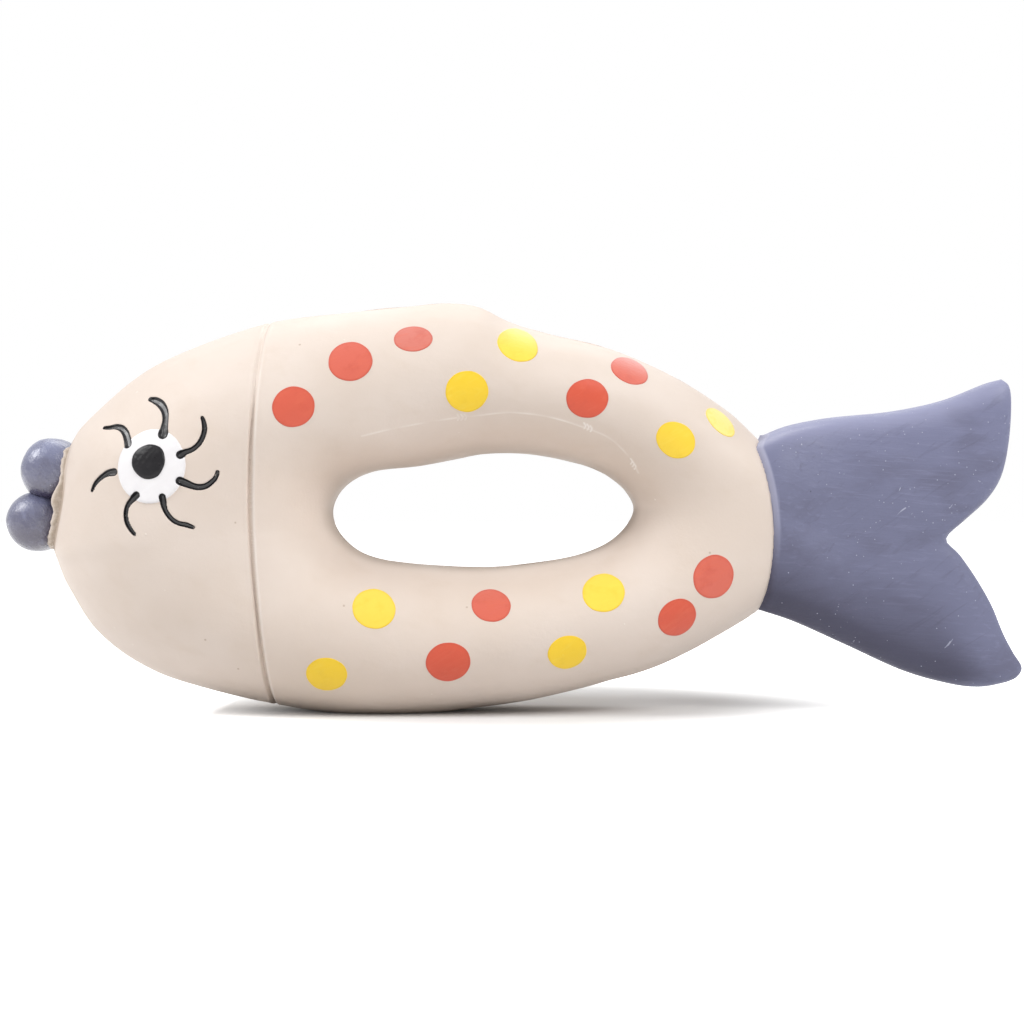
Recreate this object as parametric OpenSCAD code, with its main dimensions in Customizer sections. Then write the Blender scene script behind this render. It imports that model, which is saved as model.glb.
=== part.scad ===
// Hollow rubber fish that squeaks: a bath toy with a grip hole through its body.
// The head points to -X, the tail to +X, the left side to -Y, and the toy stands on its belly at z = 0.

/* [Body] */
// Length from the mouth seat to the tail root
body_len = 116; // [100:1:135]
// Height from the belly to the top of the back
body_h = 66; // [58:1:76]
// Thickness across the head
head_w = 38; // [32:1:44]
// Thickness across the ring, above and below the grip hole
tube_w = 30; // [26:1:34]
// Thickness across the rear of the ring, in front of the tail
rear_w = 20; // [17:0.5:23]
// Thickness of the rubber skin
wall = 2.2; // [1.8:0.1:2.8]

/* [Grip hole] */
// Length of the grip hole
hole_len = 48.7; // [42:0.1:54]
// Height of the grip hole
hole_h = 18.7; // [15:0.1:22]
// Middle of the hole, back from the mouth seat
hole_back = 69; // [65:0.5:73]
// Middle of the hole, up from the belly
hole_up = 32.5; // [30:0.5:35]

/* [Gill groove] */
// Gill groove, back from the mouth seat
gill_back = 34.4; // [30:0.1:38]
// How far the gill groove bows towards the head, halfway down each side
gill_bow = 1.1; // [0:0.1:2]
// Width of the gill groove
gill_w = 0.9; // [0.6:0.1:1.4]
// Depth of the gill groove
gill_d = 0.8; // [0.4:0.1:1.2]

/* [Tail] */
// Length of the tail from its root to its longest tip
tail_len = 40; // [34:0.5:46]
// Height of the tail from tip to tip
tail_h = 50; // [44:0.5:56]
// Lowest point of the tail above the belly
tail_up = 3.9; // [2:0.1:6]
// Thickness of the tail at its root
tail_root_w = 17.5; // [15:0.5:20]
// Thickness of the tail near its tips
tail_tip_w = 7; // [5:0.5:9]
// Thickness of the rubber in the tail
tail_wall = 1.6; // [1.2:0.1:2.2]
// Radius of the curved tail root, seen from the side
root_r = 42; // [34:1:60]

/* [Mouth] */
// Diameter of each lip, seen from the side
lip_d = 9.6; // [8.5:0.1:10.5]
// Width of each lip, across the head
lip_w = 13; // [11:0.5:15]
// Middle of the upper lip, out from the collar
upper_lip_out = 2; // [1:0.1:3]
// Middle of the lower lip, out from the collar
lower_lip_out = 2.8; // [1.8:0.1:3.8]
// Height of the collar behind the lips
collar_h = 17.4; // [15:0.1:19]
// Width of the collar behind the lips
collar_w = 14; // [12:0.5:16]
// Thickness of the collar
collar_t = 1.2; // [0.8:0.1:1.8]
// Lean of the mouth, its lower end forward
mouth_lean = 8.8; // [6:0.2:11]

/* [Eyes] */
// Diameter of the eye white
eye_d = 11; // [9:0.2:13]
// Height of the eye white above the skin
eye_t = 0.4; // [0.3:0.05:0.8]
// Diameter of the pupil
pupil_d = 5.1; // [4:0.1:6.5]
// Height of the pupil above the eye white
pupil_t = 0.6; // [0.4:0.05:1]
// Width of a lash at its base
lash_w = 1.25; // [0.9:0.05:1.6]
// Depth of a lash groove in the skin
lash_cut = 0.6; // [0.4:0.05:0.8]
// Thickness of the paint on the floor of a lash groove
lash_t = 0.2; // [0.15:0.05:0.3]
// Length of a lash
lash_len = 7.4; // [6:0.1:8.5]

/* [Dots] */
// Diameter of a painted dot
dot_d = 6.5; // [5.5:0.1:7.5]
// Thickness of a painted dot
dot_t = 0.25; // [0.2:0.05:0.4]

/* [Squeaker] */
// Diameter of the flange that shows in the right cheek
flange_d = 15; // [14:0.5:17]
// Thickness of the flange
flange_t = 1.2; // [1:0.1:1.6]
// Depth of the flange's face below the crown of the cheek
flange_sink = 0.7; // [0.4:0.1:1]
// Outside diameter of the squeaker tube
tube_d = 11; // [10:0.1:12]
// Inside diameter of the squeaker tube
tube_bore_d = 9.2; // [8.4:0.1:9.8]
// Length of the squeaker tube behind the flange
tube_len = 9; // [8:0.1:11]
// Diameter of the sound outlet in the flange
outlet_d = 3; // [2:0.1:4]
// Diameter of an air hole in the cap
vent_d = 1.8; // [1.4:0.1:2.2]
// Thickness of the cap
cap_t = 1; // [0.8:0.1:1.4]
// Length of the reed from its root bead to its tip
reed_len = 5; // [4:0.1:5.5]
// Width of the reed
reed_w = 3.2; // [2.6:0.1:4]
// Thickness of the reed
reed_t = 0.3; // [0.2:0.05:0.4]
// Diameter of the bead at the root of the reed
bead_d = 0.9; // [0.7:0.05:1.1]
// Swing of the reed each way, in degrees
reed_swing = 5; // [3:0.5:6]
// Length of the clamp that holds the reed
clamp_len = 2.4; // [2:0.1:3]

/* [Hidden] */

cream = [0.89, 0.84, 0.78];
slate = [0.42, 0.44, 0.57];
white = [0.97, 0.97, 0.96];
black = [0.09, 0.08, 0.09];
red = [0.88, 0.36, 0.28];
yellow = [0.99, 0.84, 0.18];
plastic = [0.93, 0.93, 0.90];
film = [0.80, 0.78, 0.70];

// Gap between pieces that only meet face to face
seat_gap = 0.05;
// Running gap round the reed's bead
run_gap = 0.08;
// How deep paint and pressed pieces bite into what carries them
bite = 0.08;
// How far a cut runs past what it cuts
overrun = 1;

// Outline of the body seen from the left, from the tail end round over the back.
// Shares of body_len back from the mouth seat and of body_h up from the belly.
body_outline_shares = [
    [1.055, 0.47], [1.03, 0.585], [0.975, 0.67], [0.935, 0.735], [0.865, 0.815], [0.775, 0.885],
    [0.685, 0.925], [0.63, 0.955], [0.59, 0.99], [0.555, 1], [0.52, 0.998], [0.465, 0.988],
    [0.395, 0.975], [0.305, 0.955], [0.22, 0.91], [0.13, 0.84], [0.06, 0.74], [0.015, 0.645],
    [0, 0.525], [0, 0.405], [0.02, 0.295], [0.06, 0.19], [0.13, 0.105], [0.22, 0.05],
    [0.31, 0.012], [0.41, -0.013], [0.505, -0.016], [0.595, -0.004], [0.675, 0.03], [0.755, 0.07],
    [0.84, 0.115], [0.91, 0.175], [0.985, 0.255], [1.035, 0.34]
];
// Outline of the grip hole, from its tail end round over its top.
// Shares of hole_len and hole_h from the middle of the hole.
hole_outline_shares = [
    [0.5, 0], [0.465, 0.19], [0.385, 0.34], [0.275, 0.435], [0.14, 0.495], [0.005, 0.495],
    [-0.095, 0.445], [-0.21, 0.385], [-0.365, 0.33], [-0.455, 0.21], [-0.5, 0], [-0.465, -0.225],
    [-0.365, -0.4], [-0.175, -0.47], [0.01, -0.495], [0.19, -0.45], [0.355, -0.355], [0.455, -0.2]
];
// Edges of the tail. Shares of tail_len back from its root and of tail_h up from its lowest point.
tail_top_shares = [
    [-0.055, 0.815], [0.065, 0.85], [0.23, 0.875], [0.475, 0.895], [0.68, 0.93], [0.86, 0.985], [0.94, 1]
];
tail_bottom_shares = [
    [-0.04, 0.25], [0.105, 0.21], [0.31, 0.135], [0.535, 0.055], [0.72, 0.015], [0.88, 0], [0.97, 0.02]
];
tail_rear_shares = [
    [0.97, 0.02], [1, 0.07], [0.945, 0.145], [0.88, 0.255], [0.82, 0.345], [0.75, 0.425], [0.7, 0.48],
    [0.765, 0.54], [0.86, 0.61], [0.92, 0.695], [0.95, 0.8], [0.96, 0.96], [0.94, 1]
];
// Middles of the painted marks, in the shares of the body outline
eye_share = [0.155, 0.6];
red_dot_shares = [
    [0.345, 0.735], [0.42, 0.845], [0.5, 0.905], [0.735, 0.76], [0.795, 0.83],
    [0.605, 0.27], [0.545, 0.135], [0.905, 0.335], [0.855, 0.24]
];
yellow_dot_shares = [
    [0.575, 0.775], [0.645, 0.89], [0.855, 0.66], [0.92, 0.705],
    [0.45, 0.265], [0.385, 0.1], [0.755, 0.3], [0.71, 0.155]
];
// Middle of the squeaker port in the right cheek, in the same shares
port_share = [0.205, 0.265];
// Pupil's offset from the middle of the eye, in shares of the eye's radius
pupil_share = [-0.08, 0.1];
// Angle at which each lash leaves the eye, and its heading there, from straight back and turning up
lash_angles = [[67, 78], [15, 22], [-27, -32], [-70, -84], [-113, -136], [191, 172], [140, 106]];
// Length of each lash, in shares of lash_len
lash_length_shares = [0.98, 1.08, 1.02, 1.04, 1, 0.84, 0.9];
// Turn of a lash between its base and its tip
lash_turn_angle = 86;
// Where a lash starts, as a share of the eye's radius
lash_start_share = 0.9;
// Width of a lash at its tip, as a share of its base
lash_tip_share = 0.6;
// Width of a lash at its rounded ends, as a share of what is next to them
lash_end_share = 0.55;

// Middles of the lips, in shares of the collar's height above its middle
upper_lip_share = 0.255;
lower_lip_share = -0.26;
// Middle of the mouth, in shares of body_h up from the belly
mouth_share = 0.525;

// Roundness of the tail's edges: higher is squarer
edge_power = 4;
// How fast the tail thins from root to tip
thin_power = 0.6;
// How far the tail's hollow runs, as a share of the tail's own length
tail_hollow_share = 0.8;
// Least half thickness of the tail's edge
edge_half = 0.3;

// Stations round the ring, points over a section, inside points over a section
ring_steps = 80;
over_steps = 16;
inside_steps = 10;
curve_steps = 6;
tail_steps = 12;
tail_across = 14;
dot_spokes = 14;
eye_spokes = 28;
lash_steps = 8;
walk_steps = 3;
groove_steps = 36;
$fn = 48;

// Corners and angles worked out from the sizes above
mouth_z = mouth_share * body_h;
half_len = body_len / 2;
half_h = body_h / 2;
bead_r = bead_d / 2;

function unit(v) = v / norm(v);
function mix(a, b, t) = a + (b - a) * t;
function cubic(p0, p1, p2, p3, t) =
    p1 + (p2 - p0) * t / 2 + (2 * p0 - 5 * p1 + 4 * p2 - p3) * t * t / 2
    + (3 * p1 - p0 - 3 * p2 + p3) * t * t * t / 2;

// Smooth closed curve through a list of points
function closed_curve(p, n = curve_steps) =
    let (m = len(p))
    [for (i = [0 : m - 1], k = [0 : n - 1])
        cubic(p[(i + m - 1) % m], p[i], p[(i + 1) % m], p[(i + 2) % m], k / n)];

// Point at share t along a smooth open curve through a list of points
function open_curve(p, t) =
    let (
        m = len(p) - 1,
        i = min(floor(t * m), m - 1),
        before = i == 0 ? 2 * p[0] - p[1] : p[i - 1],
        after = i == m - 1 ? 2 * p[m] - p[m - 1] : p[i + 2]
    )
    cubic(before, p[i], p[i + 1], after, t * m - i);

// Reach of an outline from the middle of the grip hole, as [angle, share of the body's half sizes]
function reach_table(points) =
    let (
        polar = [for (p = points)
            let (u = (p[0] - hole_back) / half_len, w = (p[1] - hole_up) / half_h, a = atan2(w, u))
            [a < 0 ? a + 360 : a, norm([u, w])]],
        turned = [for (q = polar) if (q[0] > 330) [q[0] - 360, q[1]]],
        first = [for (q = polar) if (q[0] < 30) [q[0] + 360, q[1]]]
    )
    concat(turned, [for (q = polar) q], first);

// Sorted copy of a table, by its first column
function sorted(t) =
    len(t) < 2 ? t :
    let (
        pivot = t[floor(len(t) / 2)][0],
        low = [for (q = t) if (q[0] < pivot) q],
        same = [for (q = t) if (q[0] == pivot) q],
        high = [for (q = t) if (q[0] > pivot) q]
    )
    concat(sorted(low), [same[0]], sorted(high));

body_reach = sorted(reach_table(closed_curve(
    [for (s = body_outline_shares) [s[0] * body_len, s[1] * body_h]])));
hole_reach = sorted(reach_table(closed_curve(
    [for (s = hole_outline_shares) [hole_back + s[0] * hole_len, hole_up + s[1] * hole_h]])));

function turn(a) = a < 0 ? a + 360 : (a >= 360 ? a - 360 : a);
function body_edge(a) = lookup(turn(a), body_reach);
function hole_edge(a) = lookup(turn(a), hole_reach);

// Half thickness of the body at an angle round the grip hole
function half_w(a) =
    let (c = cos(a))
    (c < 0 ? mix(tube_w, head_w, c * c) : mix(tube_w, rear_w, c * c)) / 2;

// Ends of the body, where the tail and the mouth sit, at a height z
function root_x(z) =
    let (dz = z - tail_up - tail_h / 2)
    body_len + sqrt(root_r * root_r - dz * dz) - root_r;
function seat_x(z) = (z - mouth_z) * tan(mouth_lean) + collar_t;
// Point that lies up from the middle of the mouth and out from its seat
function mouth_point(up, out) =
    [collar_t + up * sin(mouth_lean) - out * cos(mouth_lean),
        mouth_z + up * cos(mouth_lean) + out * sin(mouth_lean)];

// Keeps a point between the mouth seat, the tail root and the belly
function trimmed(p, inset) =
    let (z = max(p[2], inset))
    [max(min(p[0], root_x(z) - inset), seat_x(z) + inset), p[1], z];

// Point of the left skin: a is the angle round the hole, v runs from the outer edge (0) to the hole (180)
function skin_at(a, v, inset = 0) =
    let (
        d = [half_len * cos(a), half_h * sin(a)],
        w = inset / norm(d),
        outer = body_edge(a) - w,
        inner = hole_edge(a) + w,
        r = (outer + inner) / 2 + (outer - inner) / 2 * cos(v)
    )
    trimmed([hole_back + r * d[0], -(half_w(a) - inset) * sin(v), hole_up + r * d[1]], inset);

// Angles [a, v] of the skin point that lies at shares s of the body, seen from the side
function angles_at(s) =
    let (
        u = (s[0] * body_len - hole_back) / half_len,
        w = (s[1] * body_h - hole_up) / half_h,
        a = atan2(w, u),
        outer = body_edge(a),
        inner = hole_edge(a),
        c = (norm([u, w]) - (outer + inner) / 2) / ((outer - inner) / 2)
    )
    [a, acos(max(min(c, 1), -1))];

// Slopes of the skin along its two angles, and its outward normal
function slope_a(q) = (skin_at(q[0] + 0.5, q[1]) - skin_at(q[0] - 0.5, q[1]));
function slope_v(q) = (skin_at(q[0], q[1] + 0.5) - skin_at(q[0], q[1] - 0.5));
function normal_at(q) =
    let (n = unit(cross(slope_a(q), slope_v(q))), p = skin_at(q[0], 90))
    n * (skin_at(q[0], q[1]) - [p[0], 0, p[2]]) < 0 ? -n : n;

// Angles of the point that lies dx back and dz up from angles q, measured along the skin
function moved(q, dx, dz) =
    let (
        n = normal_at(q),
        t = unit([1, 0, 0] - n * n[0]),
        b = cross(n, t),
        sa = slope_a(q),
        sv = slope_v(q),
        det = (sa * t) * (sv * b) - (sv * t) * (sa * b)
    )
    q + [(dx * (sv * b) - dz * (sv * t)) / det, (dz * (sa * t) - dx * (sa * b)) / det];
function lifted(q, lift) = skin_at(q[0], q[1]) + normal_at(q) * lift;

// Triangles of a tube of rings, m rings with k points each; a closed tube joins its last ring to its first
function tube_faces(m, k, closed) =
    [for (i = [0 : closed ? m - 1 : m - 2], j = [0 : k - 1])
        let (here = i * k, next = (i + 1) % m * k, over = (j + 1) % k)
        each [[here + j, here + over, next + over], [here + j, next + over, next + j]]];

// Half of the skin, left of the parting line, with its hollow open on that line
module half_skin() {
    points = [for (i = [0 : ring_steps - 1])
        let (a = i * 360 / ring_steps)
        each concat(
            [for (j = [0 : over_steps]) skin_at(a, j * 180 / over_steps)],
            [for (j = [0 : inside_steps]) skin_at(a, 180 - j * 180 / inside_steps, wall)])];
    polyhedron(points, tube_faces(ring_steps, over_steps + inside_steps + 2, true));
}

// Angle round the hole where the body's edge passes the gill, over the back (side 1) or the belly (-1)
function gill_angle(side, low = 90, high = 180, n = 24) =
    let (mid = (low + high) / 2, ahead = skin_at(side * mid, 0)[0] < gill_back)
    n == 0 ? side * mid :
    (ahead ? gill_angle(side, low, mid, n - 1) : gill_angle(side, mid, high, n - 1));
gill_top = gill_angle(1);
gill_bottom = 360 + gill_angle(-1);
// Point of the gill groove at share t from the back to the belly
function gill_point(t) =
    let (
        a = mix(gill_top, gill_bottom, t),
        x = gill_back - gill_bow * 4 * t * (1 - t),
        outer = body_edge(a),
        inner = hole_edge(a),
        r = (x - hole_back) / (half_len * cos(a)),
        c = (r - (outer + inner) / 2) / ((outer - inner) / 2)
    )
    [x, -half_w(a) * sqrt(max(1 - c * c, 0)), hole_up + r * half_h * sin(a)];

// Cutter for the gill groove on the left half
module gill_cutter() {
    path = [for (i = [0 : groove_steps]) gill_point((1 - cos(i * 180 / groove_steps)) / 2)];
    past = [0, overrun, 0];
    ends = concat([path[0] + past], path, [path[groove_steps] + past]);
    m = len(ends);
    points = [for (i = [0 : m - 1])
        let (
            t = unit(ends[min(i + 1, m - 1)] - ends[max(i - 1, 0)]),
            side = i == 0 ? [0, 0, 1] : (i == m - 1 ? [0, 0, -1] : unit([0, t[2], -t[1]])),
            low = ends[i] - side * gill_d,
            high = ends[i] + side * overrun,
            half = [gill_w / 2, 0, 0]
        )
        each [high - half, high + half, low + half, low - half]];
    polyhedron(points, concat(
        tube_faces(m, 4, false),
        [[0, 3, 2], [0, 2, 1], [4 * m - 4, 4 * m - 3, 4 * m - 2], [4 * m - 4, 4 * m - 2, 4 * m - 1]]));
}

// Moves the model from its mouth seat to the middle of its whole length
front_x = mouth_point(lower_lip_share * collar_h, collar_t + lower_lip_out)[0] - lip_d / 2;
rear_x = max([for (i = [0 : tail_steps], p = tail_ring(sin(i * 90 / tail_steps), 0)) p[0]]);
module placed() {
    translate([-(front_x + rear_x) / 2, 0, 0]) children();
}
module mirrored() {
    mirror([0, 1, 0]) children();
}

// Disc of paint on the left skin, with a domed top
module patch(q, d, low, high, dome, spokes, rings = 2) {
    r = d / 2;
    top = [for (k = [1 : rings], i = [0 : spokes - 1])
        let (s = k / rings, a = i * 360 / spokes)
        lifted(moved(q, r * s * cos(a), r * s * sin(a)), high + dome * (1 - s * s))];
    under = [for (k = [1 : rings], i = [0 : spokes - 1])
        let (s = k / rings, a = i * 360 / spokes)
        lifted(moved(q, r * s * cos(a), r * s * sin(a)), low)];
    n = rings * spokes;
    points = concat(top, under, [lifted(q, high + dome), lifted(q, low)]);
    upper = [for (i = [0 : spokes - 1]) [2 * n, (i + 1) % spokes, i]];
    lower = [for (i = [0 : spokes - 1]) [2 * n + 1, n + i, n + (i + 1) % spokes]];
    bands = [for (k = [0 : rings - 2], i = [0 : spokes - 1])
        let (a = k * spokes + i, b = k * spokes + (i + 1) % spokes)
        each [[a, b, b + spokes], [a, b + spokes, a + spokes],
            [n + a, n + b + spokes, n + b], [n + a, n + a + spokes, n + b + spokes]]];
    rim = [for (i = [0 : spokes - 1])
        let (a = n - spokes + i, b = n - spokes + (i + 1) % spokes)
        each [[a, b, n + b], [a, n + b, n + a]]];
    polyhedron(points, concat(upper, lower, bands, rim));
}

// Angles of the skin points on a walk from angles q, one for each [back, up] step
function walked(q, steps, i = 0) =
    i == len(steps) ? [q] : concat([q], walked(moved(q, steps[i][0], steps[i][1]), steps, i + 1));

// One lash: a tapered strip that curls away from the eye, from low to high above the skin.
// The value grow makes it larger all round.
module lash(leaves, heads, length, low, high, grow) {
    radius = eye_d / 2 * lash_start_share - grow;
    headings = [for (i = [0 : lash_steps]) heads + lash_turn_angle * i / lash_steps];
    out = [for (i = [1 : walk_steps]) radius / walk_steps * [cos(leaves), sin(leaves)]];
    step = (length + 2 * grow) / lash_steps;
    along = [for (i = [0 : lash_steps - 1]) step * [cos(headings[i]), sin(headings[i])]];
    path = walked(angles_at(eye_share), concat(out, along));
    points = [for (i = [0 : lash_steps])
        let (
            q = path[walk_steps + i],
            end = i == 0 || i == lash_steps ? lash_end_share : 1,
            half = lash_w * mix(1, lash_tip_share, i / lash_steps) * end / 2 + grow,
            side = half * [-sin(headings[i]), cos(headings[i])]
        )
        each [for (c = [[-1, low], [-1, high], [1, high], [1, low]])
            lifted(moved(q, c[0] * side[0], c[0] * side[1]), c[1])]];
    last = lash_steps * 4;
    polyhedron(points, concat(
        tube_faces(lash_steps + 1, 4, false),
        [for (j = [1 : 2]) each [[0, j + 1, j], [last, last + j, last + j + 1]]]));
}
module seven_lashes(low, high, grow) {
    for (i = [0 : len(lash_angles) - 1])
        lash(lash_angles[i][0], lash_angles[i][1], lash_len * lash_length_shares[i], low, high, grow);
}
module lash_grooves() {
    seven_lashes(-lash_cut, overrun, 0);
}

module eye_white() {
    difference() {
        patch(angles_at(eye_share), eye_d, -bite, eye_t, 0, eye_spokes, 3);
        lash_grooves();
    }
}
module pupil() {
    q = moved(angles_at(eye_share), pupil_share[0] * eye_d / 2, pupil_share[1] * eye_d / 2);
    patch(q, pupil_d, eye_t - bite, eye_t + pupil_t / 2, pupil_t / 2, eye_spokes, 3);
}
module lashes() {
    seven_lashes(-lash_cut - bite, lash_t - lash_cut, bite);
}
module dots(places) {
    for (s = places)
        patch(angles_at(s), dot_d, -bite, dot_t, 0, dot_spokes);
}

// Frame of the squeaker: its own z runs square out of the right cheek, and 0 is the seat of its flange
port_angles = angles_at(port_share);
port_spot = skin_at(port_angles[0], port_angles[1]);
port_normal = normal_at(port_angles);
module at_port() {
    mirrored() translate(port_spot - port_normal * (flange_sink + flange_t)) mirrored()
        rotate([0, acos(port_normal[2]), atan2(-port_normal[1], port_normal[0])]) children();
}
// Rubber sleeve round the squeaker, and the hole that it is pressed into
sleeve_share = 0.6;
sleeve_len = tube_len * sleeve_share;
module port_sleeve() {
    at_port() translate([0, 0, -sleeve_len]) cylinder(d = flange_d - wall / 2, h = sleeve_len);
}
module port_hole() {
    at_port() {
        cylinder(d = flange_d + 2 * seat_gap, h = flange_t + flange_sink + overrun);
        translate([0, 0, -tube_len]) cylinder(d = tube_d - 2 * bite, h = tube_len + overrun);
    }
}

module left_skin() {
    color(cream) placed() difference() {
        half_skin();
        gill_cutter();
        lash_grooves();
    }
}
module right_skin() {
    color(cream) placed() difference() {
        union() {
            mirrored() half_skin();
            port_sleeve();
        }
        mirrored() gill_cutter();
        mirrored() lash_grooves();
        port_hole();
    }
}

// Side view of the tail: s runs from the root to the rear edge, t from the lower edge to the upper
function tail_corner(s) = [body_len + s[0] * tail_len, tail_up + s[1] * tail_h];
function tail_root(t) =
    let (
        low = tail_corner(tail_bottom_shares[0])[1],
        high = tail_corner(tail_top_shares[0])[1],
        z = mix(low, high, t)
    )
    [root_x(z) + seat_gap, z];
function tail_side(s, t) =
    let (
        low = tail_corner(open_curve(tail_bottom_shares, s)),
        high = tail_corner(open_curve(tail_top_shares, s)),
        front = tail_root(t),
        rear = tail_corner(open_curve(tail_rear_shares, t)),
        tips = mix(tail_corner(open_curve(tail_rear_shares, 0)),
            tail_corner(open_curve(tail_rear_shares, 1)), t),
        corners = mix(mix(tail_root(0), tail_root(1), t), tips, s)
    )
    mix(front, rear, s) + mix(low, high, t) - corners
    + mix(mix(tail_root(0) - tail_corner(tail_bottom_shares[0]),
        tail_root(1) - tail_corner(tail_top_shares[0]), t), [0, 0], s);
function tail_half(s, t) =
    mix(tail_root_w, tail_tip_w, pow(s, thin_power)) / 2
    * pow(max(1 - pow(abs(2 * t - 1), edge_power), 0), 1 / edge_power)
    * pow(max(1 - pow(s, 2 * edge_power), 0), 1 / edge_power);

// Ring of points round the tail at share s, with the edges drawn in by inset
function tail_ring(s, inset) =
    let (
        span = norm(tail_side(s, 1) - tail_side(s, 0)),
        shrink = 1 - 2 * inset / span,
        left = [for (j = [0 : tail_across]) (1 - cos(j * 180 / tail_across)) / 2],
        place = function (t, side)
            let (
                p = tail_side(s, 0.5 + (t - 0.5) * shrink),
                y = tail_half(s, t) - inset
            )
            [p[0], (t <= 0 || t >= 1) ? 0 : side * max(y, edge_half), p[1]]
    )
    concat(
        [for (j = [0 : tail_across]) place(left[j], -1)],
        [for (j = [tail_across - 1 : -1 : 1]) place(left[j], 1)]);

module tail_fin() {
    k = 2 * tail_across;
    outer = [for (i = [0 : tail_steps]) tail_ring(sin(i * 90 / tail_steps), 0)];
    inner = [for (i = [tail_steps : -1 : 0]) tail_ring(i / tail_steps * tail_hollow_share, tail_wall)];
    m = 2 * tail_steps + 2;
    points = [for (ring = concat(inner, outer)) each ring];
    last = (m - 1) * k;
    cap = concat(
        [[0, 1, k - 1], [tail_across - 1, tail_across, tail_across + 1]],
        [for (j = [1 : tail_across - 2]) each [[j, j + 1, k - j - 1], [j, k - j - 1, k - j]]]);
    caps = concat(
        [for (f = cap) [f[0], f[2], f[1]]],
        [for (f = cap) [last + f[0], last + f[1], last + f[2]]]);
    color(slate) placed() polyhedron(points, concat(tube_faces(m, k, false), caps));
}

// Frame of the mouth: its own z runs out of the mouth and its own x runs up the lips
module at_mouth() {
    translate([collar_t, 0, mouth_z]) rotate([0, mouth_lean, 0]) rotate([0, -90, 0]) children();
}
module lip(rise, out) {
    at_mouth() translate([rise, 0, collar_t + out])
        scale([1, lip_w / lip_d, 1]) sphere(d = lip_d, $fn = 32);
}
// Room of one lip: above (side 1) or below (-1) the plane in which the lips meet, in front of the collar
lip_span = (upper_lip_share - lower_lip_share) * collar_h;
lip_skew = atan2(lower_lip_out - upper_lip_out, lip_span);
lips_meet = [
    (upper_lip_share + lower_lip_share) / 2 * collar_h,
    0,
    collar_t + (upper_lip_out + lower_lip_out) / 2
];
module lip_room(side) {
    at_mouth() intersection() {
        translate([-collar_h, -lip_w, collar_t]) cube([2 * collar_h, 2 * lip_w, 2 * lip_d]);
        translate(lips_meet) rotate([0, lip_skew, 0])
            translate([side * seat_gap / 2 - (side < 0 ? collar_h : 0), -lip_w, -2 * lip_d])
                cube([collar_h, 2 * lip_w, 4 * lip_d]);
    }
}
module mouth_collar() {
    color(cream) placed() at_mouth() translate([0, 0, seat_gap])
        linear_extrude(collar_t - 2 * seat_gap) scale([1, collar_w / collar_h]) circle(d = collar_h);
}
module upper_lip() {
    color(slate) placed() intersection() {
        lip(upper_lip_share * collar_h, upper_lip_out);
        lip_room(1);
    }
}
module lower_lip() {
    color(slate) placed() intersection() {
        lip(lower_lip_share * collar_h, lower_lip_out);
        lip_room(-1);
    }
}

module left_eye_white() {
    color(white) placed() eye_white();
}
module left_pupil() {
    color(black) placed() pupil();
}
module left_lashes() {
    color(black) placed() lashes();
}
module left_red_dots() {
    color(red) placed() dots(red_dot_shares);
}
module left_yellow_dots() {
    color(yellow) placed() dots(yellow_dot_shares);
}
module right_eye_white() {
    color(white) placed() mirrored() eye_white();
}
module right_pupil() {
    color(black) placed() mirrored() pupil();
}
module right_lashes() {
    color(black) placed() mirrored() lashes();
}
module right_red_dots() {
    color(red) placed() mirrored() dots(red_dot_shares);
}
module right_yellow_dots() {
    color(yellow) placed() mirrored() dots(yellow_dot_shares);
}

// The reed's bead lies across the tube at this depth, in the middle of the clamp
bead_z = -tube_len + clamp_len / 2;
plug_d = tube_bore_d - 2 * seat_gap;
// Gap between the two half plugs where they hold the reed, and where the reed swings
hold_half = reed_t / 2 + clamp_len / 2 * tan(reed_swing) + run_gap;
swing_half = reed_t / 2 + reed_len * tan(reed_swing) + run_gap;

module squeaker_body() {
    color(plastic) placed() at_port() difference() {
        union() {
            cylinder(d = flange_d, h = flange_t);
            translate([0, 0, -tube_len]) cylinder(d = tube_d, h = tube_len);
        }
        translate([0, 0, -tube_len - overrun]) cylinder(d = tube_bore_d, h = tube_len + overrun);
        translate([0, 0, -overrun]) cylinder(d = outlet_d, h = flange_t + 2 * overrun);
    }
}
module bead_groove() {
    translate([-tube_d / 2, 0, bead_z]) rotate([0, 90, 0]) cylinder(r = bead_r + run_gap, h = tube_d);
}
module reed_bed() {
    color(plastic) placed() at_port() difference() {
        translate([0, 0, -tube_len]) cylinder(d = plug_d, h = tube_len - seat_gap);
        translate([-tube_d / 2, -tube_d + hold_half, -tube_len - overrun])
            cube([tube_d, tube_d, tube_len + 2 * overrun]);
        translate([-tube_d / 2, -tube_d + swing_half, -tube_len + clamp_len])
            cube([tube_d, tube_d, tube_len + overrun]);
        translate([-reed_w / 4, -overrun, -tube_len + clamp_len])
            cube([reed_w / 2, plug_d / 4 + overrun, tube_len]);
        bead_groove();
    }
}
module reed_clamp() {
    color(plastic) placed() at_port() difference() {
        translate([0, 0, -tube_len]) cylinder(d = plug_d, h = clamp_len);
        translate([-tube_d / 2, -hold_half, -tube_len - overrun])
            cube([tube_d, tube_d, clamp_len + 2 * overrun]);
        bead_groove();
    }
}
module reed() {
    color(film) placed() at_port() translate([-reed_w / 2, 0, bead_z]) {
        rotate([0, 90, 0]) cylinder(d = bead_d, h = reed_w);
        translate([0, -reed_t / 2, 0]) cube([reed_w, reed_t, reed_len]);
    }
}
module squeaker_cap() {
    color(plastic) placed() at_port() translate([0, 0, -tube_len - cap_t - seat_gap]) difference() {
        cylinder(d = tube_d, h = cap_t);
        for (i = [0 : 3])
            rotate(i * 90 + 45) translate([tube_bore_d / 4, 0, -overrun])
                cylinder(d = vent_d, h = cap_t + 2 * overrun);
    }
}

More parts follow.
